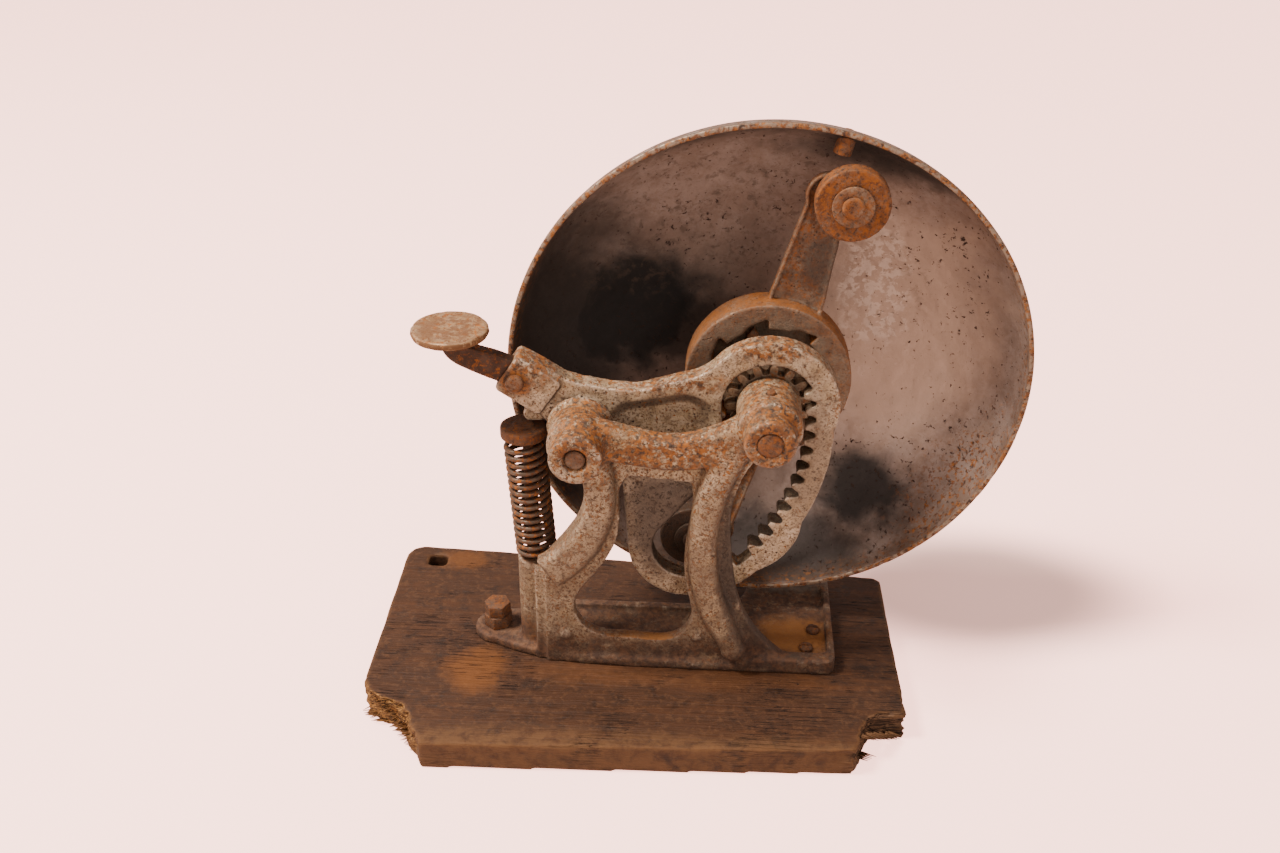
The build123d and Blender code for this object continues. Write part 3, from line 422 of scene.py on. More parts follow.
def bell_finish():
    """Tarnished plated bell: grey, smudged, pitted, with a patch of painted light and black painted shade
    and dark patches inside.
    """
    plating = (0.42, 0.345, 0.305)
    finish = Finish("tarnished_bell", plating, roughness=0.42, metallic=0.5, strength=1.1, depth=1.08)
    finish.coat(finish.spots(0.045, 0.55, 0.16, 1.1), (0.30, 0.23, 0.19), 0.48, 0.45)
    finish.coat(finish.times(finish.spots(0.013, 0.42, 0.12, 2.3), 0.8), (0.22, 0.165, 0.135), 0.55, 0.4)
    finish.coat(finish.times(finish.spots(0.0022, 0.40, 0.20, 2.9), 0.25), (0.16, 0.115, 0.09), 0.6, 0.3)
    # painted light: a lit patch on the inner wall, right of the centre
    light = finish.patch((0.082, 0.060, 0.205), (0.085, 0.06, 0.110), 0.45, 0.035)
    finish.coat(finish.times(light, 0.8), (0.53, 0.40, 0.315), 0.44, 0.4)
    # painted shade: the left of the inner wall, shaded by the rim
    left = finish.patch((-0.150, 0.020, 0.185), (0.105, 0.10, 0.165), 0.25, 0.05)
    blot = finish.patch((-0.082, 0.054, 0.206), (0.062, 0.05, 0.060), 0.3, 0.02)
    low = finish.patch((0.064, 0.036, 0.092), (0.042, 0.05, 0.030), 0.35, 0.02)
    crown = finish.patch((0.060, 0.014, 0.316), (0.098, 0.04, 0.026), 0.25, 0.02)
    across = finish.patch((-0.055, 0.062, 0.190), (0.070, 0.05, 0.034), 0.3, 0.02)
    bottom = finish.patch((0.01, 0.02, 0.055), (0.095, 0.05, 0.026), 0.4, 0.02)
    top_edge = finish.patch((-0.03, 0.006, 0.330), (0.14, 0.03, 0.022), 0.3, 0.02)
    # the painted shade at the left is joined with the other dark patches, kept to the inner wall and coated
    # near-black
    shade_and_dark_patches = finish.either(finish.either(finish.times(left, 0.95), blot), finish.times(low, 0.95))
    shade_and_dark_patches = finish.either(finish.either(shade_and_dark_patches, finish.times(crown, 0.92)), finish.times(bottom, 0.85))
    shade_and_dark_patches = finish.either(finish.either(shade_and_dark_patches, finish.times(across, 0.85)), finish.times(top_edge, 0.85))
    inside = finish.facing(1, -0.02, -0.12)
    shade_and_dark_patches = finish.times(shade_and_dark_patches, inside)
    finish.coat(shade_and_dark_patches, (0.008, 0.0075, 0.007), 0.62, 0.0)
    halo = finish.times(finish.times(finish.patch((-0.03, 0.05, 0.27), (0.13, 0.06, 0.07), 0.8, 0.05),
                                     finish.spots(0.006, 0.28, 0.08, 5.9)), 0.6)
    finish.coat(halo, (0.075, 0.055, 0.042), 0.6, 0.3)
    near_rim = finish.along(1, 0.020, 0.001)
    stain = finish.times(near_rim, finish.spots(0.012, 0.62, 0.14, 8.8))
    finish.coat(finish.times(stain, 0.7), (0.12, 0.078, 0.052), 0.6, 0.3)
    pit_share = sums(finish.tree, "ADD", 0.03, finish.times(finish.spots(0.05, 0.5, 0.2, 8.1), 0.20))
    pits = finish.spots(0.0032, pit_share, 0.02, 4.2)
    finish.coat(pits, (0.030, 0.016, 0.010), 0.8, 0.0)
    flakes = finish.times(finish.patch((0.066, 0.062, 0.222), (0.022, 0.03, 0.050), 0.9, 0.012),
                          finish.spots(0.006, 0.5, 0.03, 6.6))
    finish.coat(finish.times(flakes, 0.8), (0.66, 0.54, 0.45), 0.5, 0.2)
    rust_low = finish.patch((0.120, 0.01, 0.115), (0.06, 0.03, 0.06), 0.6, 0.015)
    rusty = finish.either(finish.times(near_rim, 0.8), rust_low)
    rust = finish.times(finish.spots(0.0030, 0.40, 0.06, 7.1), rusty)
    finish.coat(rust, rust_colours(finish, 2.0), 0.85, 0.0)
    back = finish.facing(1, 0.05, 0.2)
    tarnish = finish.times(back, finish.spots(0.016, 0.6, 0.18, 9.3))
    finish.coat(finish.times(tarnish, 0.8), (0.14, 0.10, 0.078), 0.55, 0.35)
    specks = finish.times(finish.spots(0.004, 0.28, 0.06, 10.7), finish.spots(0.06, 0.45, 0.1, 14.0))
    back_rust = finish.times(back, specks)
    finish.coat(finish.times(back_rust, 0.8), rust_colours(finish, 4.0), 0.86, 0.0)
    lip = finish.along(1, 0.0016, 0.0002)
    finish.coat(finish.times(lip, finish.spots(0.006, 0.72, 0.14, 9.9)), (0.27, 0.21, 0.155), 0.46, 0.5)
    chips = finish.times(lip, finish.spots(0.004, 0.52, 0.06, 12.0))
    finish.coat(chips, rust_colours(finish, 6.0), 0.8, 0.0)
    dimples = cloudy(finish.tree, finish.place, 60.0, 3.0, 0.5)
    fine = cloudy(finish.tree, finish.place, 900.0, 3.0, 0.6)
    finish.raised(dimples, 0.0011)
    finish.raised(fine, 0.00006)
    finish.raised(sums(finish.tree, "MULTIPLY", pits, -1.0), 0.00025)
    return finish


def wood_finish():
    """Old board: dark brown, oily, rust-stained, with fresh fibres where it broke."""
    dark_wood = (0.075, 0.037, 0.021)
    finish = Finish("oily_board", dark_wood, roughness=0.66, specular=0.3, strength=1.28, depth=0.62)
    fibre = finish.use(wood_fibre, Width=0.0009)
    finish.coat(ramped(finish.tree, fibre["Bands"], 0.35, 0.72, 0.0, 0.7), (0.115, 0.052, 0.026), 0.7)
    finish.coat(ramped(finish.tree, fibre["Fibres"], 0.5, 0.75, 0.0, 0.55), (0.046, 0.022, 0.013), 0.6)
    finish.coat(finish.times(finish.spots(0.05, 0.5, 0.2, 1.0), 0.6), (0.055, 0.026, 0.014), 0.55)
    finish.coat(finish.times(finish.spots(0.012, 0.25, 0.12, 2.0), 0.7), (0.022, 0.013, 0.009), 0.45)
    finish.coat(finish.times(finish.spots(0.004, 0.3, 0.08, 2.6), 0.45), (0.16, 0.085, 0.048), 0.7)
    top = finish.facing(2, 0.5, 0.9)
    stains = finish.patch((-0.172, -0.064, 0.019), (0.022, 0.024, 0.02), 0.45, 0.012)
    weaker_stains = [
        ((-0.196, 0.048, 0.019), (0.020, 0.012, 0.02), 0.6, 0.008, 0.8),
        ((-0.06, -0.064, 0.019), (0.13, 0.012, 0.02), 0.8, 0.02, 0.3),
        ((0.03, 0.045, 0.019), (0.03, 0.016, 0.02), 0.6, 0.01, 0.5),
    ]
    for centre, reach, ragged, grain, share in weaker_stains:
        stain = finish.times(finish.patch(centre, reach, ragged, grain), share)
        stains = finish.either(stains, stain)
    finish.coat(finish.times(finish.times(stains, top), 0.62), (0.27, 0.118, 0.050), 0.8)
    finish.coat(finish.times(fibre["Checks"], 0.75), (0.010, 0.006, 0.005), 0.9)
    front_band = finish.times(finish.along(1, -0.108, -0.124), finish.spots(0.009, 0.62, 0.18, 3.0))
    finish.coat(finish.times(front_band, 0.75), (0.21, 0.118, 0.064), 0.78)
    left = finish.patch((-0.222, -0.100, 0.006), (0.036, 0.036, 0.03), 0.15, 0.01)
    right = finish.patch((0.074, -0.100, 0.006), (0.034, 0.036, 0.03), 0.15, 0.01)
    side = finish.without(1.0, finish.facing(2, 0.75, 0.97))
    strands = ramped(finish.tree, fibre["Fibres"], 0.40, 0.62)
    bright = finish.blend_of(strands, (0.045, 0.018, 0.008), (0.50, 0.25, 0.075))
    dull = finish.blend_of(strands, (0.022, 0.012, 0.008), (0.20, 0.115, 0.062))
    finish.coat(finish.times(finish.times(left, side), 0.95), bright, 0.85)
    finish.coat(finish.times(finish.times(right, side), 0.9), dull, 0.85)
    rub = finish.use(edges_and_hollows, Reach=0.04, Break_Up=0.006)
    finish.coat(finish.times(rub["Edges"], 0.45), (0.22, 0.115, 0.055), 0.75)
    finish.raised(fibre["Fibres"], 0.0006)
    finish.raised(sums(finish.tree, "MULTIPLY", fibre["Checks"], -1.0), 0.0006)
    finish.raised(fibre["Bands"], 0.0007)
    return finish


def centre_of(node):
    low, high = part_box(node)
    return (low + high) / 2


finishes = {}


def frame_finish():
    heavy = [
        ((-0.055, -0.060, 0.178), (0.055, 0.03, 0.018), 0.62),
        ((-0.103, -0.068, 0.186), (0.024, 0.04, 0.022), 0.66),
        ((0.0, -0.066, 0.196), (0.022, 0.04, 0.022), 0.74),
        ((-0.150, -0.030, 0.027), (0.04, 0.04, 0.02), 0.9),
    ]
    finish = painted_iron("frame_paint", 0.4, 0.30, heavy, 0.95)
    shaded = finish.times(finish.along(2, 0.180, 0.120), finish.spots(0.011, 0.74, 0.2, 13.0))
    finish.coat(finish.times(shaded, 0.62), (0.155, 0.112, 0.080), 0.6)
    # painted shade: the toe and the inner side of the leg are darkened
    shade_on_toe = finish.patch((0.012, -0.056, 0.050), (0.034, 0.03, 0.042), 0.3, 0.012)
    shade_on_inner_leg = finish.patch((-0.018, -0.052, 0.100), (0.010, 0.02, 0.060), 0.3, 0.010)
    finish.coat(finish.times(finish.either(shade_on_toe, shade_on_inner_leg), 0.85), (0.036, 0.028, 0.023), 0.55)
    foot = finish.times(finish.along(2, 0.056, 0.028), finish.spots(0.010, 0.86, 0.2, 11.0))
    flecks = finish.spots(0.004, 0.45, 0.12, 12.0)
    dark_rust = finish.blend_of(flecks, (0.040, 0.018, 0.010), (0.105, 0.046, 0.020))
    finish.coat(finish.times(foot, 0.92), dark_rust, 0.85, 0.0)
    fresh = finish.patch((0.024, -0.028, 0.025), (0.030, 0.022, 0.008), 0.35, 0.008)
    fresh = finish.either(fresh, finish.patch((-0.064, -0.050, 0.036), (0.036, 0.02, 0.006), 0.3, 0.008))
    fresh = finish.times(fresh, finish.facing(2, 0.3, 0.8))
    finish.coat(finish.times(fresh, 0.85), (0.27, 0.135, 0.062), 0.85, 0.0)
    crust = finish.patch((0.02, 0.028, 0.027), (0.05, 0.014, 0.012), 0.6, 0.006)
    finish.coat(finish.times(crust, 0.85), (0.13, 0.115, 0.10), 0.9, 0.0)
    return finish


def lever_finish():
    hot = [
        ((-0.135, -0.033, 0.222), (0.026, 0.03, 0.022), 0.62),
        ((0.0, -0.031, 0.231), (0.045, 0.03, 0.012), 0.55),
        ((-0.060, -0.031, 0.206), (0.045, 0.03, 0.010), 0.55),
        ((0.044, -0.031, 0.20), (0.010, 0.03, 0.05), 0.5),
        ((-0.143, -0.040, 0.206), (0.012, 0.02, 0.012), 0.85),
    ]
    finish = painted_iron("lever_paint", 2.4, 0.15, hot, 0.9, (0.66, 0.56, 0.44))
    lobe = finish.patch((-0.055, -0.031, 0.115), (0.040, 0.03, 0.050), 0.25, 0.02)
    finish.coat(finish.times(lobe, 0.88), (0.068, 0.056, 0.047), 0.42, 0.4)
    oil = finish.patch((0.024, -0.031, 0.165), (0.018, 0.03, 0.060), 0.3, 0.01)
    finish.coat(finish.times(oil, 0.6), (0.17, 0.135, 0.10), 0.4)
    greasy = finish.patch((-0.004, -0.031, 0.135), (0.036, 0.03, 0.066), 0.3, 0.006)
    sides = finish.without(1.0, finish.facing(1, -0.55, -0.85))
    finish.coat(finish.times(finish.times(greasy, sides), 0.9), old_grease, 0.35, 0.0)
    return finish


def striker_finish():
    finish = rusted("striker_rust", 5.5, (0.26, 0.215, 0.17), 0.42, 0.18)
    front = finish.facing(1, -0.6, -0.9)
    ring = finish.times(finish.patch((0.0, 0.003, 0.192), (0.056, 0.02, 0.056), 0.1), front)
    finish.coat(finish.times(ring, finish.spots(0.008, 0.74, 0.16, 6.2)), (0.31, 0.26, 0.205), 0.5, 0.4)
    rim = finish.without(1.0, finish.facing(1, -0.25, -0.7))
    band = finish.times(finish.patch((0.0, 0.006, 0.192), (0.062, 0.03, 0.062), 0.1), rim)
    finish.coat(finish.times(band, finish.spots(0.006, 0.76, 0.2, 7.2)), (0.29, 0.125, 0.045), 0.85, 0.0)
    # a darker patch high on the arm
    dark_upper_arm = finish.patch((0.030, 0.004, 0.262), (0.020, 0.02, 0.022), 0.4, 0.006)
    finish.coat(finish.times(dark_upper_arm, 0.75), (0.05, 0.038, 0.030), 0.75, 0.1)
    return finish


def oiled(finish):
    """The lower hammer hangs where the oil runs."""
    oily = finish.patch(tuple(centre_of("hammer_lower")), (0.040, 0.03, 0.040), 0.1)
    finish.coat(finish.times(oily, 0.78), (0.085, 0.074, 0.062), 0.45, 0.4)
    return finish


def gear_finish():
    finish = worn("gear_steel", 9.5, (0.52, 0.43, 0.33), (0.24, 0.18, 0.13), 0.26, 0.42)
    hollow = finish.use(edges_and_hollows, Reach=0.02, Break_Up=0.002)["Hollows"]
    finish.coat(hollow, old_grease, 0.35, 0.0)
    roots = finish.patch(tuple(centre_of("pinion_gear")), (0.0215, 0.2, 0.0215), 0.05, 0.004)
    finish.coat(finish.times(roots, 0.95), old_grease, 0.35, 0.0)
    return finish


def button_finish():
    finish = worn("button_steel", 2.5, (0.56, 0.43, 0.31), (0.38, 0.265, 0.17), 0.34, 0.44)
    worn_top = finish.patch(tuple(centre_of("pedal_button")), (0.028, 0.028, 0.012), 0.7, 0.009)
    scale = finish.times(worn_top, finish.spots(0.0055, 0.60, 0.06, 3.3))
    scale = finish.times(finish.facing(2, 0.5, 0.9), scale)
    finish.coat(finish.times(scale, 0.8), (0.16, 0.085, 0.050), 0.7, 0.1)
    side = finish.without(1.0, finish.facing(2, 0.4, 0.85))
    finish.coat(finish.times(side, finish.spots(0.004, 0.66, 0.08, 4.3)), (0.17, 0.095, 0.055), 0.8, 0.1)
    return finish


def make_finishes():
    made = {
        "frame": frame_finish(),
        "lever": lever_finish(),
        "striker": striker_finish(),
        "hammer": oiled(rusted("hammer_rust", 7.5, (0.24, 0.19, 0.15), 0.62, 0.30, 0.0011)),
        "rivet": oiled(rusted("rivet_rust", 1.5, (0.32, 0.25, 0.19), 0.45, 0.22, 0.0007, 0.15)),
        "bolt": rusted("bolt_rust", 3.5, (0.075, 0.045, 0.032), 0.40, 0.04, 0.0007, 0.05),
        "pin": rusted("pin_steel", 12.5, (0.20, 0.165, 0.13), 0.26, 0.06, 0.0007, 0.25),
        "bar": worn("bar_scale", 4.5, (0.085, 0.060, 0.048), (0.050, 0.028, 0.019), 0.30, 0.5),
        "shaft": rusted("shaft_steel", 6.5, (0.19, 0.145, 0.11), 0.56, 0.16, 0.0007, 0.08),
        "spring": worn("spring_wire", 8.5, (0.17, 0.138, 0.112), (0.080, 0.060, 0.045), 0.34, 0.42),
        "gear": gear_finish(),
        "button": button_finish(),
        "bell": bell_finish(),
        "wood": wood_finish(),
    }
    for name, finish in made.items():
        finishes[name] = finish.done()


# ---- making pieces ----------------------------------------------------------

def body_of_node(node):
    for body, members in frame["record"]["behaviour"]["bodies"].items():
        if node in members:
            return body


def stands_for(piece, node, finish):
    piece.data.materials.clear()
    piece.data.materials.append(finishes[finish])
    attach(piece, body_of_node(node))
    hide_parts(node)
    return piece


def merged_copy(node):
    shape = bmesh.new()
    shape.from_mesh(bpy.data.objects[node].data)
    bmesh.ops.remove_doubles(shape, verts=shape.verts, dist=weld)
    return shape


def piece_from(shape, name):
    mesh = bpy.data.meshes.new(name)
    shape.to_mesh(mesh)
    shape.free()
    piece = bpy.data.objects.new(name, mesh)
    scene.collection.objects.link(piece)
    mesh.shade_smooth()
    return piece


def apply_modifiers(piece):
    ready = piece.evaluated_get(bpy.context.evaluated_depsgraph_get())
    mesh = bpy.data.meshes.new_from_object(ready)
    piece.modifiers.clear()
    piece.data = mesh


def new_skin(piece, size, passes):
    """Wraps a piece in one even skin and softens its edges."""
    remesh = piece.modifiers.new("skin", "REMESH")
    remesh.mode = "VOXEL"
    remesh.voxel_size = size
    soften = piece.modifiers.new("soften", "SMOOTH")
    soften.factor = 0.5
    soften.iterations = passes
    apply_modifiers(piece)


def cast_piece(node, name, finish, skin, passes, lump=0.25 * mm, lump_size=9 * mm):
    """A casting: its edges softened as sand leaves them, its faces a little uneven."""
    piece = piece_from(merged_copy(node), name)
    new_skin(piece, skin, passes)
    shape = bmesh.new()
    shape.from_mesh(piece.data)
    shape.normal_update()
    fine_lump = lump_size * 0.35
    for vertex in shape.verts:
        depth = noise.noise(vertex.co / lump_size) + 0.5 * noise.noise(vertex.co / fine_lump)
        vertex.co -= vertex.normal * lump * min(1.0, max(0.0, 0.45 + 0.6 * depth))
    shape.to_mesh(piece.data)
    shape.free()
    piece.data.shade_smooth()
    return stands_for(piece, node, finish)


def eased_piece(node, name, finish, width):
    """A turned or forged part: its sharp edges eased."""
    shape = merged_copy(node)
    bmesh.ops.dissolve_limit(shape, angle_limit=radians(0.5), verts=shape.verts, edges=shape.edges)
    closed = [edge for edge in shape.edges if len(edge.link_faces) == 2]
    sharp = [edge for edge in closed if edge.calc_face_angle(0) > radians(32)]
    bmesh.ops.bevel(shape, geom=sharp, offset=width, offset_type="OFFSET", affect="EDGES", segments=2,
                    profile=0.5, material=-1, clamp_overlap=True)
    bmesh.ops.triangulate(shape, faces=shape.faces)
    piece = piece_from(shape, name)
    piece.data.set_sharp_from_angle(angle=radians(40))
    return stands_for(piece, node, finish)


def bell_piece():
    """The bell, spun from one section, with a worn lip and slightly uneven walls."""
    low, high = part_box("bell")
    rim = (high[0] - low[0]) / 2
    depth = high[1]
    centre = Vector(((high[0] + low[0]) / 2, 0.0, (high[2] + low[2]) / 2))
    wall = 2.8 * mm
    lip = 2.9 * mm
    bore = 7.4 * mm
    seat = 17 * mm
    untouched = 25 * mm
    lip_band = 6 * mm
    lip_height = 2.5 * mm
    shape = bmesh.new()

    def wall_line(radius, height, steps):
        points = []
        for step in range(steps + 1):
            turn = pi / 2 * step / steps
            points.append((seat + (radius - seat) * cos(turn), height * sin(turn)))
        return points

    steps = 56
    outer = wall_line(rim, depth, steps)
    inner = wall_line(rim - lip, depth - wall, steps)
    rolled_lip = [(rim - lip * 0.72, 0.02 * mm), (rim - lip * 0.25, 0.0), (rim - 0.05 * mm, 0.7 * mm)]
    section = rolled_lip + outer[1:] + [(bore, depth), (bore, depth - wall)] + inner[::-1]
    ring = [shape.verts.new((radius, y, 0)) for radius, y in section]
    lines = [shape.edges.new((ring[i], ring[i + 1])) for i in range(len(ring) - 1)]
    lines.append(shape.edges.new((ring[-1], ring[0])))
    bmesh.ops.spin(shape, geom=ring + lines, cent=(0, 0, 0), axis=(0, 1, 0), angle=2 * pi, steps=288,
                   use_merge=True, use_duplicate=False)
    bmesh.ops.remove_doubles(shape, verts=shape.verts, dist=weld)
    bmesh.ops.recalc_face_normals(shape, faces=shape.faces)
    for vertex in shape.verts:
        spot = vertex.co.copy()
        radius = Vector((spot.x, 0, spot.z)).length
        if radius > untouched:
            dent = 0.5 + 0.5 * noise.noise(spot * 18) + 0.35 * noise.noise(spot * 55)
            vertex.co *= 1 - 0.0022 * min(1.0, max(0.0, dent))
        if radius > rim - lip_band and spot.y < lip_height:
            chip = noise.noise(spot * 120) + 0.8 * noise.noise(spot * 420)
            vertex.co.y += 0.9 * mm * max(0.0, chip - 0.35)
    bmesh.ops.translate(shape, verts=shape.verts, vec=centre)
    return stands_for(piece_from(shape, "bell_shell"), "bell", "bell")


def button_piece():
    """The pedal's button: a forged disc, dished by wear, with a chipped edge."""
    low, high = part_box("pedal_button")
    middle = centre_of("pedal_button")
    radius = (high[0] - low[0]) / 2
    thick = high[2] - low[2]
    section = [(0, 0), (radius * 0.80, 0), (radius * 0.965, thick * 0.20), (radius, thick * 0.52),
               (radius * 0.985, thick * 0.86), (radius * 0.955, thick), (radius * 0.80, thick * 0.965),
               (radius * 0.4, thick * 0.93), (0, thick * 0.92)]
    shape = bmesh.new()
    ring = [shape.verts.new((r, 0, z)) for r, z in section]
    lines = [shape.edges.new((ring[i], ring[i + 1])) for i in range(len(ring) - 1)]
    bmesh.ops.spin(shape, geom=ring + lines, cent=(0, 0, 0), axis=(0, 0, 1), angle=2 * pi, steps=96,
                   use_merge=True, use_duplicate=False)
    bmesh.ops.remove_doubles(shape, verts=shape.verts, dist=weld)
    bmesh.ops.recalc_face_normals(shape, faces=shape.faces)
    bmesh.ops.subdivide_edges(shape, edges=shape.edges, cuts=1, use_grid_fill=True, smooth=0.0)
    for vertex in shape.verts:
        spot = vertex.co.copy()
        out = Vector((spot.x, spot.y, 0)).length / radius
        if out > 0.85:
            chip = max(0.0, noise.noise(spot * 190 + Vector((3, 1, 0))) - 0.12)
            vertex.co.x *= 1 - 0.05 * chip
            vertex.co.y *= 1 - 0.05 * chip
        if spot.z > thick * 0.5:
            vertex.co.z -= 0.35 * mm * max(0.0, noise.noise(spot * 110) + 0.2)
    bmesh.ops.translate(shape, verts=shape.verts, vec=(middle.x, middle.y, low[2]))
    return stands_for(piece_from(shape, "worn_button"), "pedal_button", "button")


def board_piece():
    """The board: sawn faces, softened edges, torn wood at the two broken corners."""
    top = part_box("mounting_board")[1].z
    torn_reach = 24 * mm
    torn_fade = 12 * mm
    piece = piece_from(merged_copy("mounting_board"), "old_board")
    new_skin(piece, 1.5 * mm, 3)
    shape = bmesh.new()
    shape.from_mesh(piece.data)
    shape.normal_update()
    broken_corners = [Vector((-0.218, -0.104, 0)), Vector((0.070, -0.100, 0))]
    for vertex in shape.verts:
        spot = vertex.co.copy()
        level = Vector((vertex.normal.x, vertex.normal.y, 0)).length
        torn = 0.0
        for corner in broken_corners:
            away = (Vector((spot.x, spot.y, 0)) - corner).length
            torn = max(torn, 1 - max(0.0, away - torn_reach) / torn_fade)
        torn = min(1.0, torn)
        if level > 0.35 and torn > 0:
            layer = 0.5 + 0.5 * noise.cell(Vector((3.0, 5.0, spot.z * 330)))
            sliver = noise.noise(Vector((spot.x * 40, spot.y * 300, spot.z * 420)))
            rough = noise.noise(Vector((spot.x * 120, spot.y * 120, spot.z * 200)))
            upper = spot.z / top
            depth = torn * mm * (0.6 + 3.4 * upper * layer + 3.2 * sliver + 1.8 * rough)
            inward = Vector((-vertex.normal.x, -vertex.normal.y, 0))
            vertex.co += inward * max(0.0, depth)
        wavy = noise.noise(Vector((spot.x * 9, spot.y * 60, spot.z * 90)))
        vertex.co -= vertex.normal * 0.35 * mm * max(0.0, 0.4 + wavy)
        if spot.z < 0.6 * mm:
            vertex.co.z = max(vertex.co.z, 0.0)
    shape.to_mesh(piece.data)
    shape.free()
    piece.data.shade_smooth()
    return stands_for(piece, "mounting_board", "wood")


def spring_piece():
    """The coil spring, copied into a piece with a mesh of its own."""
    wire = piece_from(merged_copy("return_spring"), "coil_spring")
    piece = stands_for(wire, "return_spring", "spring")
    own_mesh(piece)


def torn_fibres():
    """Loose slivers of wood along both broken corners."""
    breaks = [(Vector((-233, -88, 0)), Vector((-197, -120, 0)), pi * 1.12, 74),
              (Vector((63, -110, 0)), Vector((84, -91, 0)), -pi * 0.12, 46)]
    root_share = 0.12
    shape = bmesh.new()
    for start, end, heading, count in breaks:
        for step in range(count):
            along = (step * 0.618) % 1.0
            level = 1.5 + 15.5 * ((step * 0.387) % 1.0)
            sway = noise.noise(Vector((step * 0.73, level, 1.0)))
            length = 7 + 5 * noise.noise(Vector((step * 1.31, 2.0, level)))
            thick = 0.75 + 0.5 * noise.noise(Vector((step * 0.91, 7.0, 3.0)))
            centre = (start.lerp(end, along) + Vector((0, 0, level))) * mm
            lean = Matrix.Rotation(pi / 2 + 0.5 * sway, 4, "Y")
            turn = Matrix.Rotation(heading + 0.7 * sway, 4, "Z") @ lean
            back = Matrix.Translation(centre) @ turn @ Matrix.Translation((0, 0, -root_share * length * mm))
            bmesh.ops.create_cone(shape, cap_ends=True, cap_tris=True, segments=5, radius1=thick * mm,
                                  radius2=0.12 * mm, depth=length * mm, matrix=back)
    lowest, highest = 0.2 * mm, 18.6 * mm
    left_end, right_end = -236.2 * mm, 88.3 * mm
    for vertex in shape.verts:
        vertex.co.z = min(max(vertex.co.z, lowest), highest)
        vertex.co.x = min(max(vertex.co.x, left_end), right_end)
    piece = piece_from(shape, "torn_fibres")
    piece.data.materials.append(finishes["wood"])
    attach(piece, "root")


def make_pieces():
    torn_fibres()
    bell_piece()
    board_piece()
    button_piece()
    cast_piece("frame_casting", "frame_body", "frame", 1.2 * mm, 4)
    cast_piece("gear_lever", "sector_lever", "lever", 0.85 * mm, 4)
    cast_piece("striker", "striker_arms", "striker", 0.9 * mm, 4)
    cast_piece("hammer_upper", "upper_hammer", "hammer", 0.6 * mm, 3, 0.2 * mm, 5 * mm)
    cast_piece("hammer_lower", "lower_hammer", "hammer", 0.6 * mm, 3, 0.2 * mm, 5 * mm)
    cast_piece("pedal_bar", "forged_bar", "bar", 0.6 * mm, 7, 0.2 * mm, 6 * mm)
    cast_piece("pinion_gear", "drive_pinion", "gear", 0.6 * mm, 2, 0.05 * mm, 4 * mm)
    cast_piece("spring_cap", "spring_head", "bolt", 0.6 * mm, 3, 0.25 * mm, 4 * mm)
    cast_piece("pawl_carrier", "pawl_plate", "gear", 0.7 * mm, 2, 0.1 * mm, 5 * mm)
    eased = {
        "foot_bolt": ("bolt", 0.5), "foot_bolt_nut": ("bolt", 0.4), "foot_screws": ("bolt", 0.3),
        "lever_pin": ("pin", 0.5), "lever_pin_washer": ("bolt", 0.3), "lever_pin_cotter": ("shaft", 0.1),
        "main_shaft": ("shaft", 0.6), "shaft_lock_pin": ("shaft", 0.3), "thrust_washer": ("shaft", 0.3),
        "bell_spacer": ("bar", 0.5), "bell_stud": ("shaft", 0.3), "bell_inner_washer": ("bolt", 0.4),
        "bell_outer_washer": ("bolt", 0.4), "bell_nut": ("bolt", 0.6), "pedal_set_screw": ("rivet", 0.4),
        "spring_rod": ("bar", 0.4), "pawl_pins": ("shaft", 0.3), "pawl_springs": ("spring", 0.1),
        "pawl_upper": ("hammer", 0.3), "pawl_lower": ("hammer", 0.3), "hammer_rivets": ("rivet", 0.4),
        "hammer_washers": ("rivet", 0.4),
    }
    for node, (finish, width) in eased.items():
        eased_piece(node, node + "_eased", finish, width * mm)
    spring_piece()


# ---- camera, light, floor ---------------------------------------------------

def camera():
    yaw = 0.05427
    pitch = 0.52548
    roll = 0.00503
    spot = Vector((-0.03492, -0.72240, 0.57568))
    ahead = Vector((-sin(yaw) * cos(pitch), cos(yaw) * cos(pitch), -sin(pitch)))
    level = Vector((cos(yaw), sin(yaw), 0))
    above = level.cross(ahead)
    right = level * cos(roll) + above * sin(roll)
    up = above * cos(roll) - level * sin(roll)
    data = bpy.data.cameras.new("camera")
    data.sensor_width = 36.0
    data.sensor_fit = "HORIZONTAL"
    data.lens = 39.375
    shot = bpy.data.objects.new("camera", data)
    scene.collection.objects.link(shot)
    turn = Matrix((right, up, -ahead)).transposed().to_4x4()
    shot.matrix_world = Matrix.Translation(spot) @ turn
    scene.camera = shot


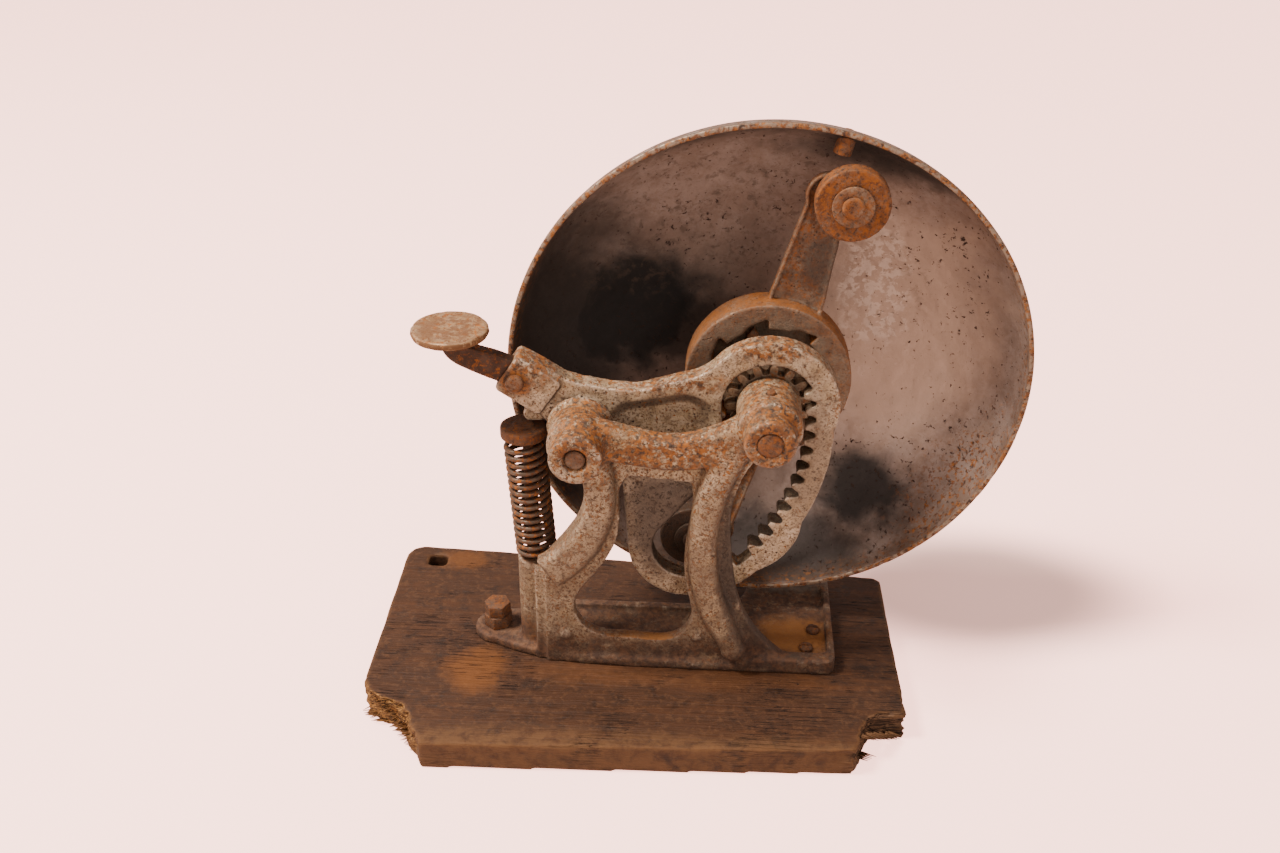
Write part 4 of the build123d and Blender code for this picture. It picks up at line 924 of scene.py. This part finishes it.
def lamp(name, spot, aim, power, size, colour):
    data = bpy.data.lights.new(name, "AREA")
    data.energy = power
    data.size = size
    data.color = colour
    light = bpy.data.objects.new(name, data)
    scene.collection.objects.link(light)
    light.location = spot
    light.rotation_euler = (Vector(aim) - Vector(spot)).to_track_quat("-Z", "Y").to_euler()


def studio():
    world = bpy.data.worlds.new("studio")
    world.use_nodes = True
    sky = world.node_tree.nodes["Background"]
    sky.inputs["Color"].default_value = (1.0, 0.80, 0.73, 1)
    sky.inputs["Strength"].default_value = 0.66
    scene.world = world
    lamp("key", spot=(-1.15, -0.22, 1.75), aim=(0, 0, 0.12), power=78, size=0.5, colour=(1.0, 0.87, 0.79))
    lamp("fill", spot=(0.6, -1.7, 0.9), aim=(0, 0, 0.15), power=9, size=1.0, colour=(1.0, 0.86, 0.79))


def floor():
    """A pale floor that glows for the camera only, with a painted shadow on it: a soft dark pool beside the
    bell.
    """
    painted_shadow_centre = (0.150, 0.062, 0.0)
    painted_shadow_reach = (0.135, 0.080, 0.2)
    painted_shadow_depth = 0.85
    glow_strength = 3.4
    bpy.ops.mesh.primitive_plane_add(size=9)
    plane = bpy.context.object
    plane.name = "floor"
    pale = (0.80, 0.62, 0.56)
    finish = Finish("pale_floor", pale, roughness=0.8, specular=0.2, strength=1.0, depth=1.0)
    finish.coat(finish.times(finish.spots(0.2, 0.4, 0.3, 1.0), 0.2), (0.78, 0.58, 0.51))
    seen = finish.tree.nodes.new("ShaderNodeLightPath").outputs["Is Camera Ray"]
    # painted shadow: the floor's glow is cut in a soft ellipse beside the bell
    painted_shadow = finish.patch(painted_shadow_centre, painted_shadow_reach, ragged=0.0, grain=0.02)
    glow = finish.without(seen, finish.times(painted_shadow, painted_shadow_depth))
    finish.shader.inputs["Emission Color"].default_value = (1.0, 0.50, 0.42, 1)
    feed(finish.tree, finish.shader.inputs["Emission Strength"], finish.times(glow, glow_strength))
    plane.data.materials.append(finish.done())


camera()
studio()
floor()
make_finishes()
make_pieces()
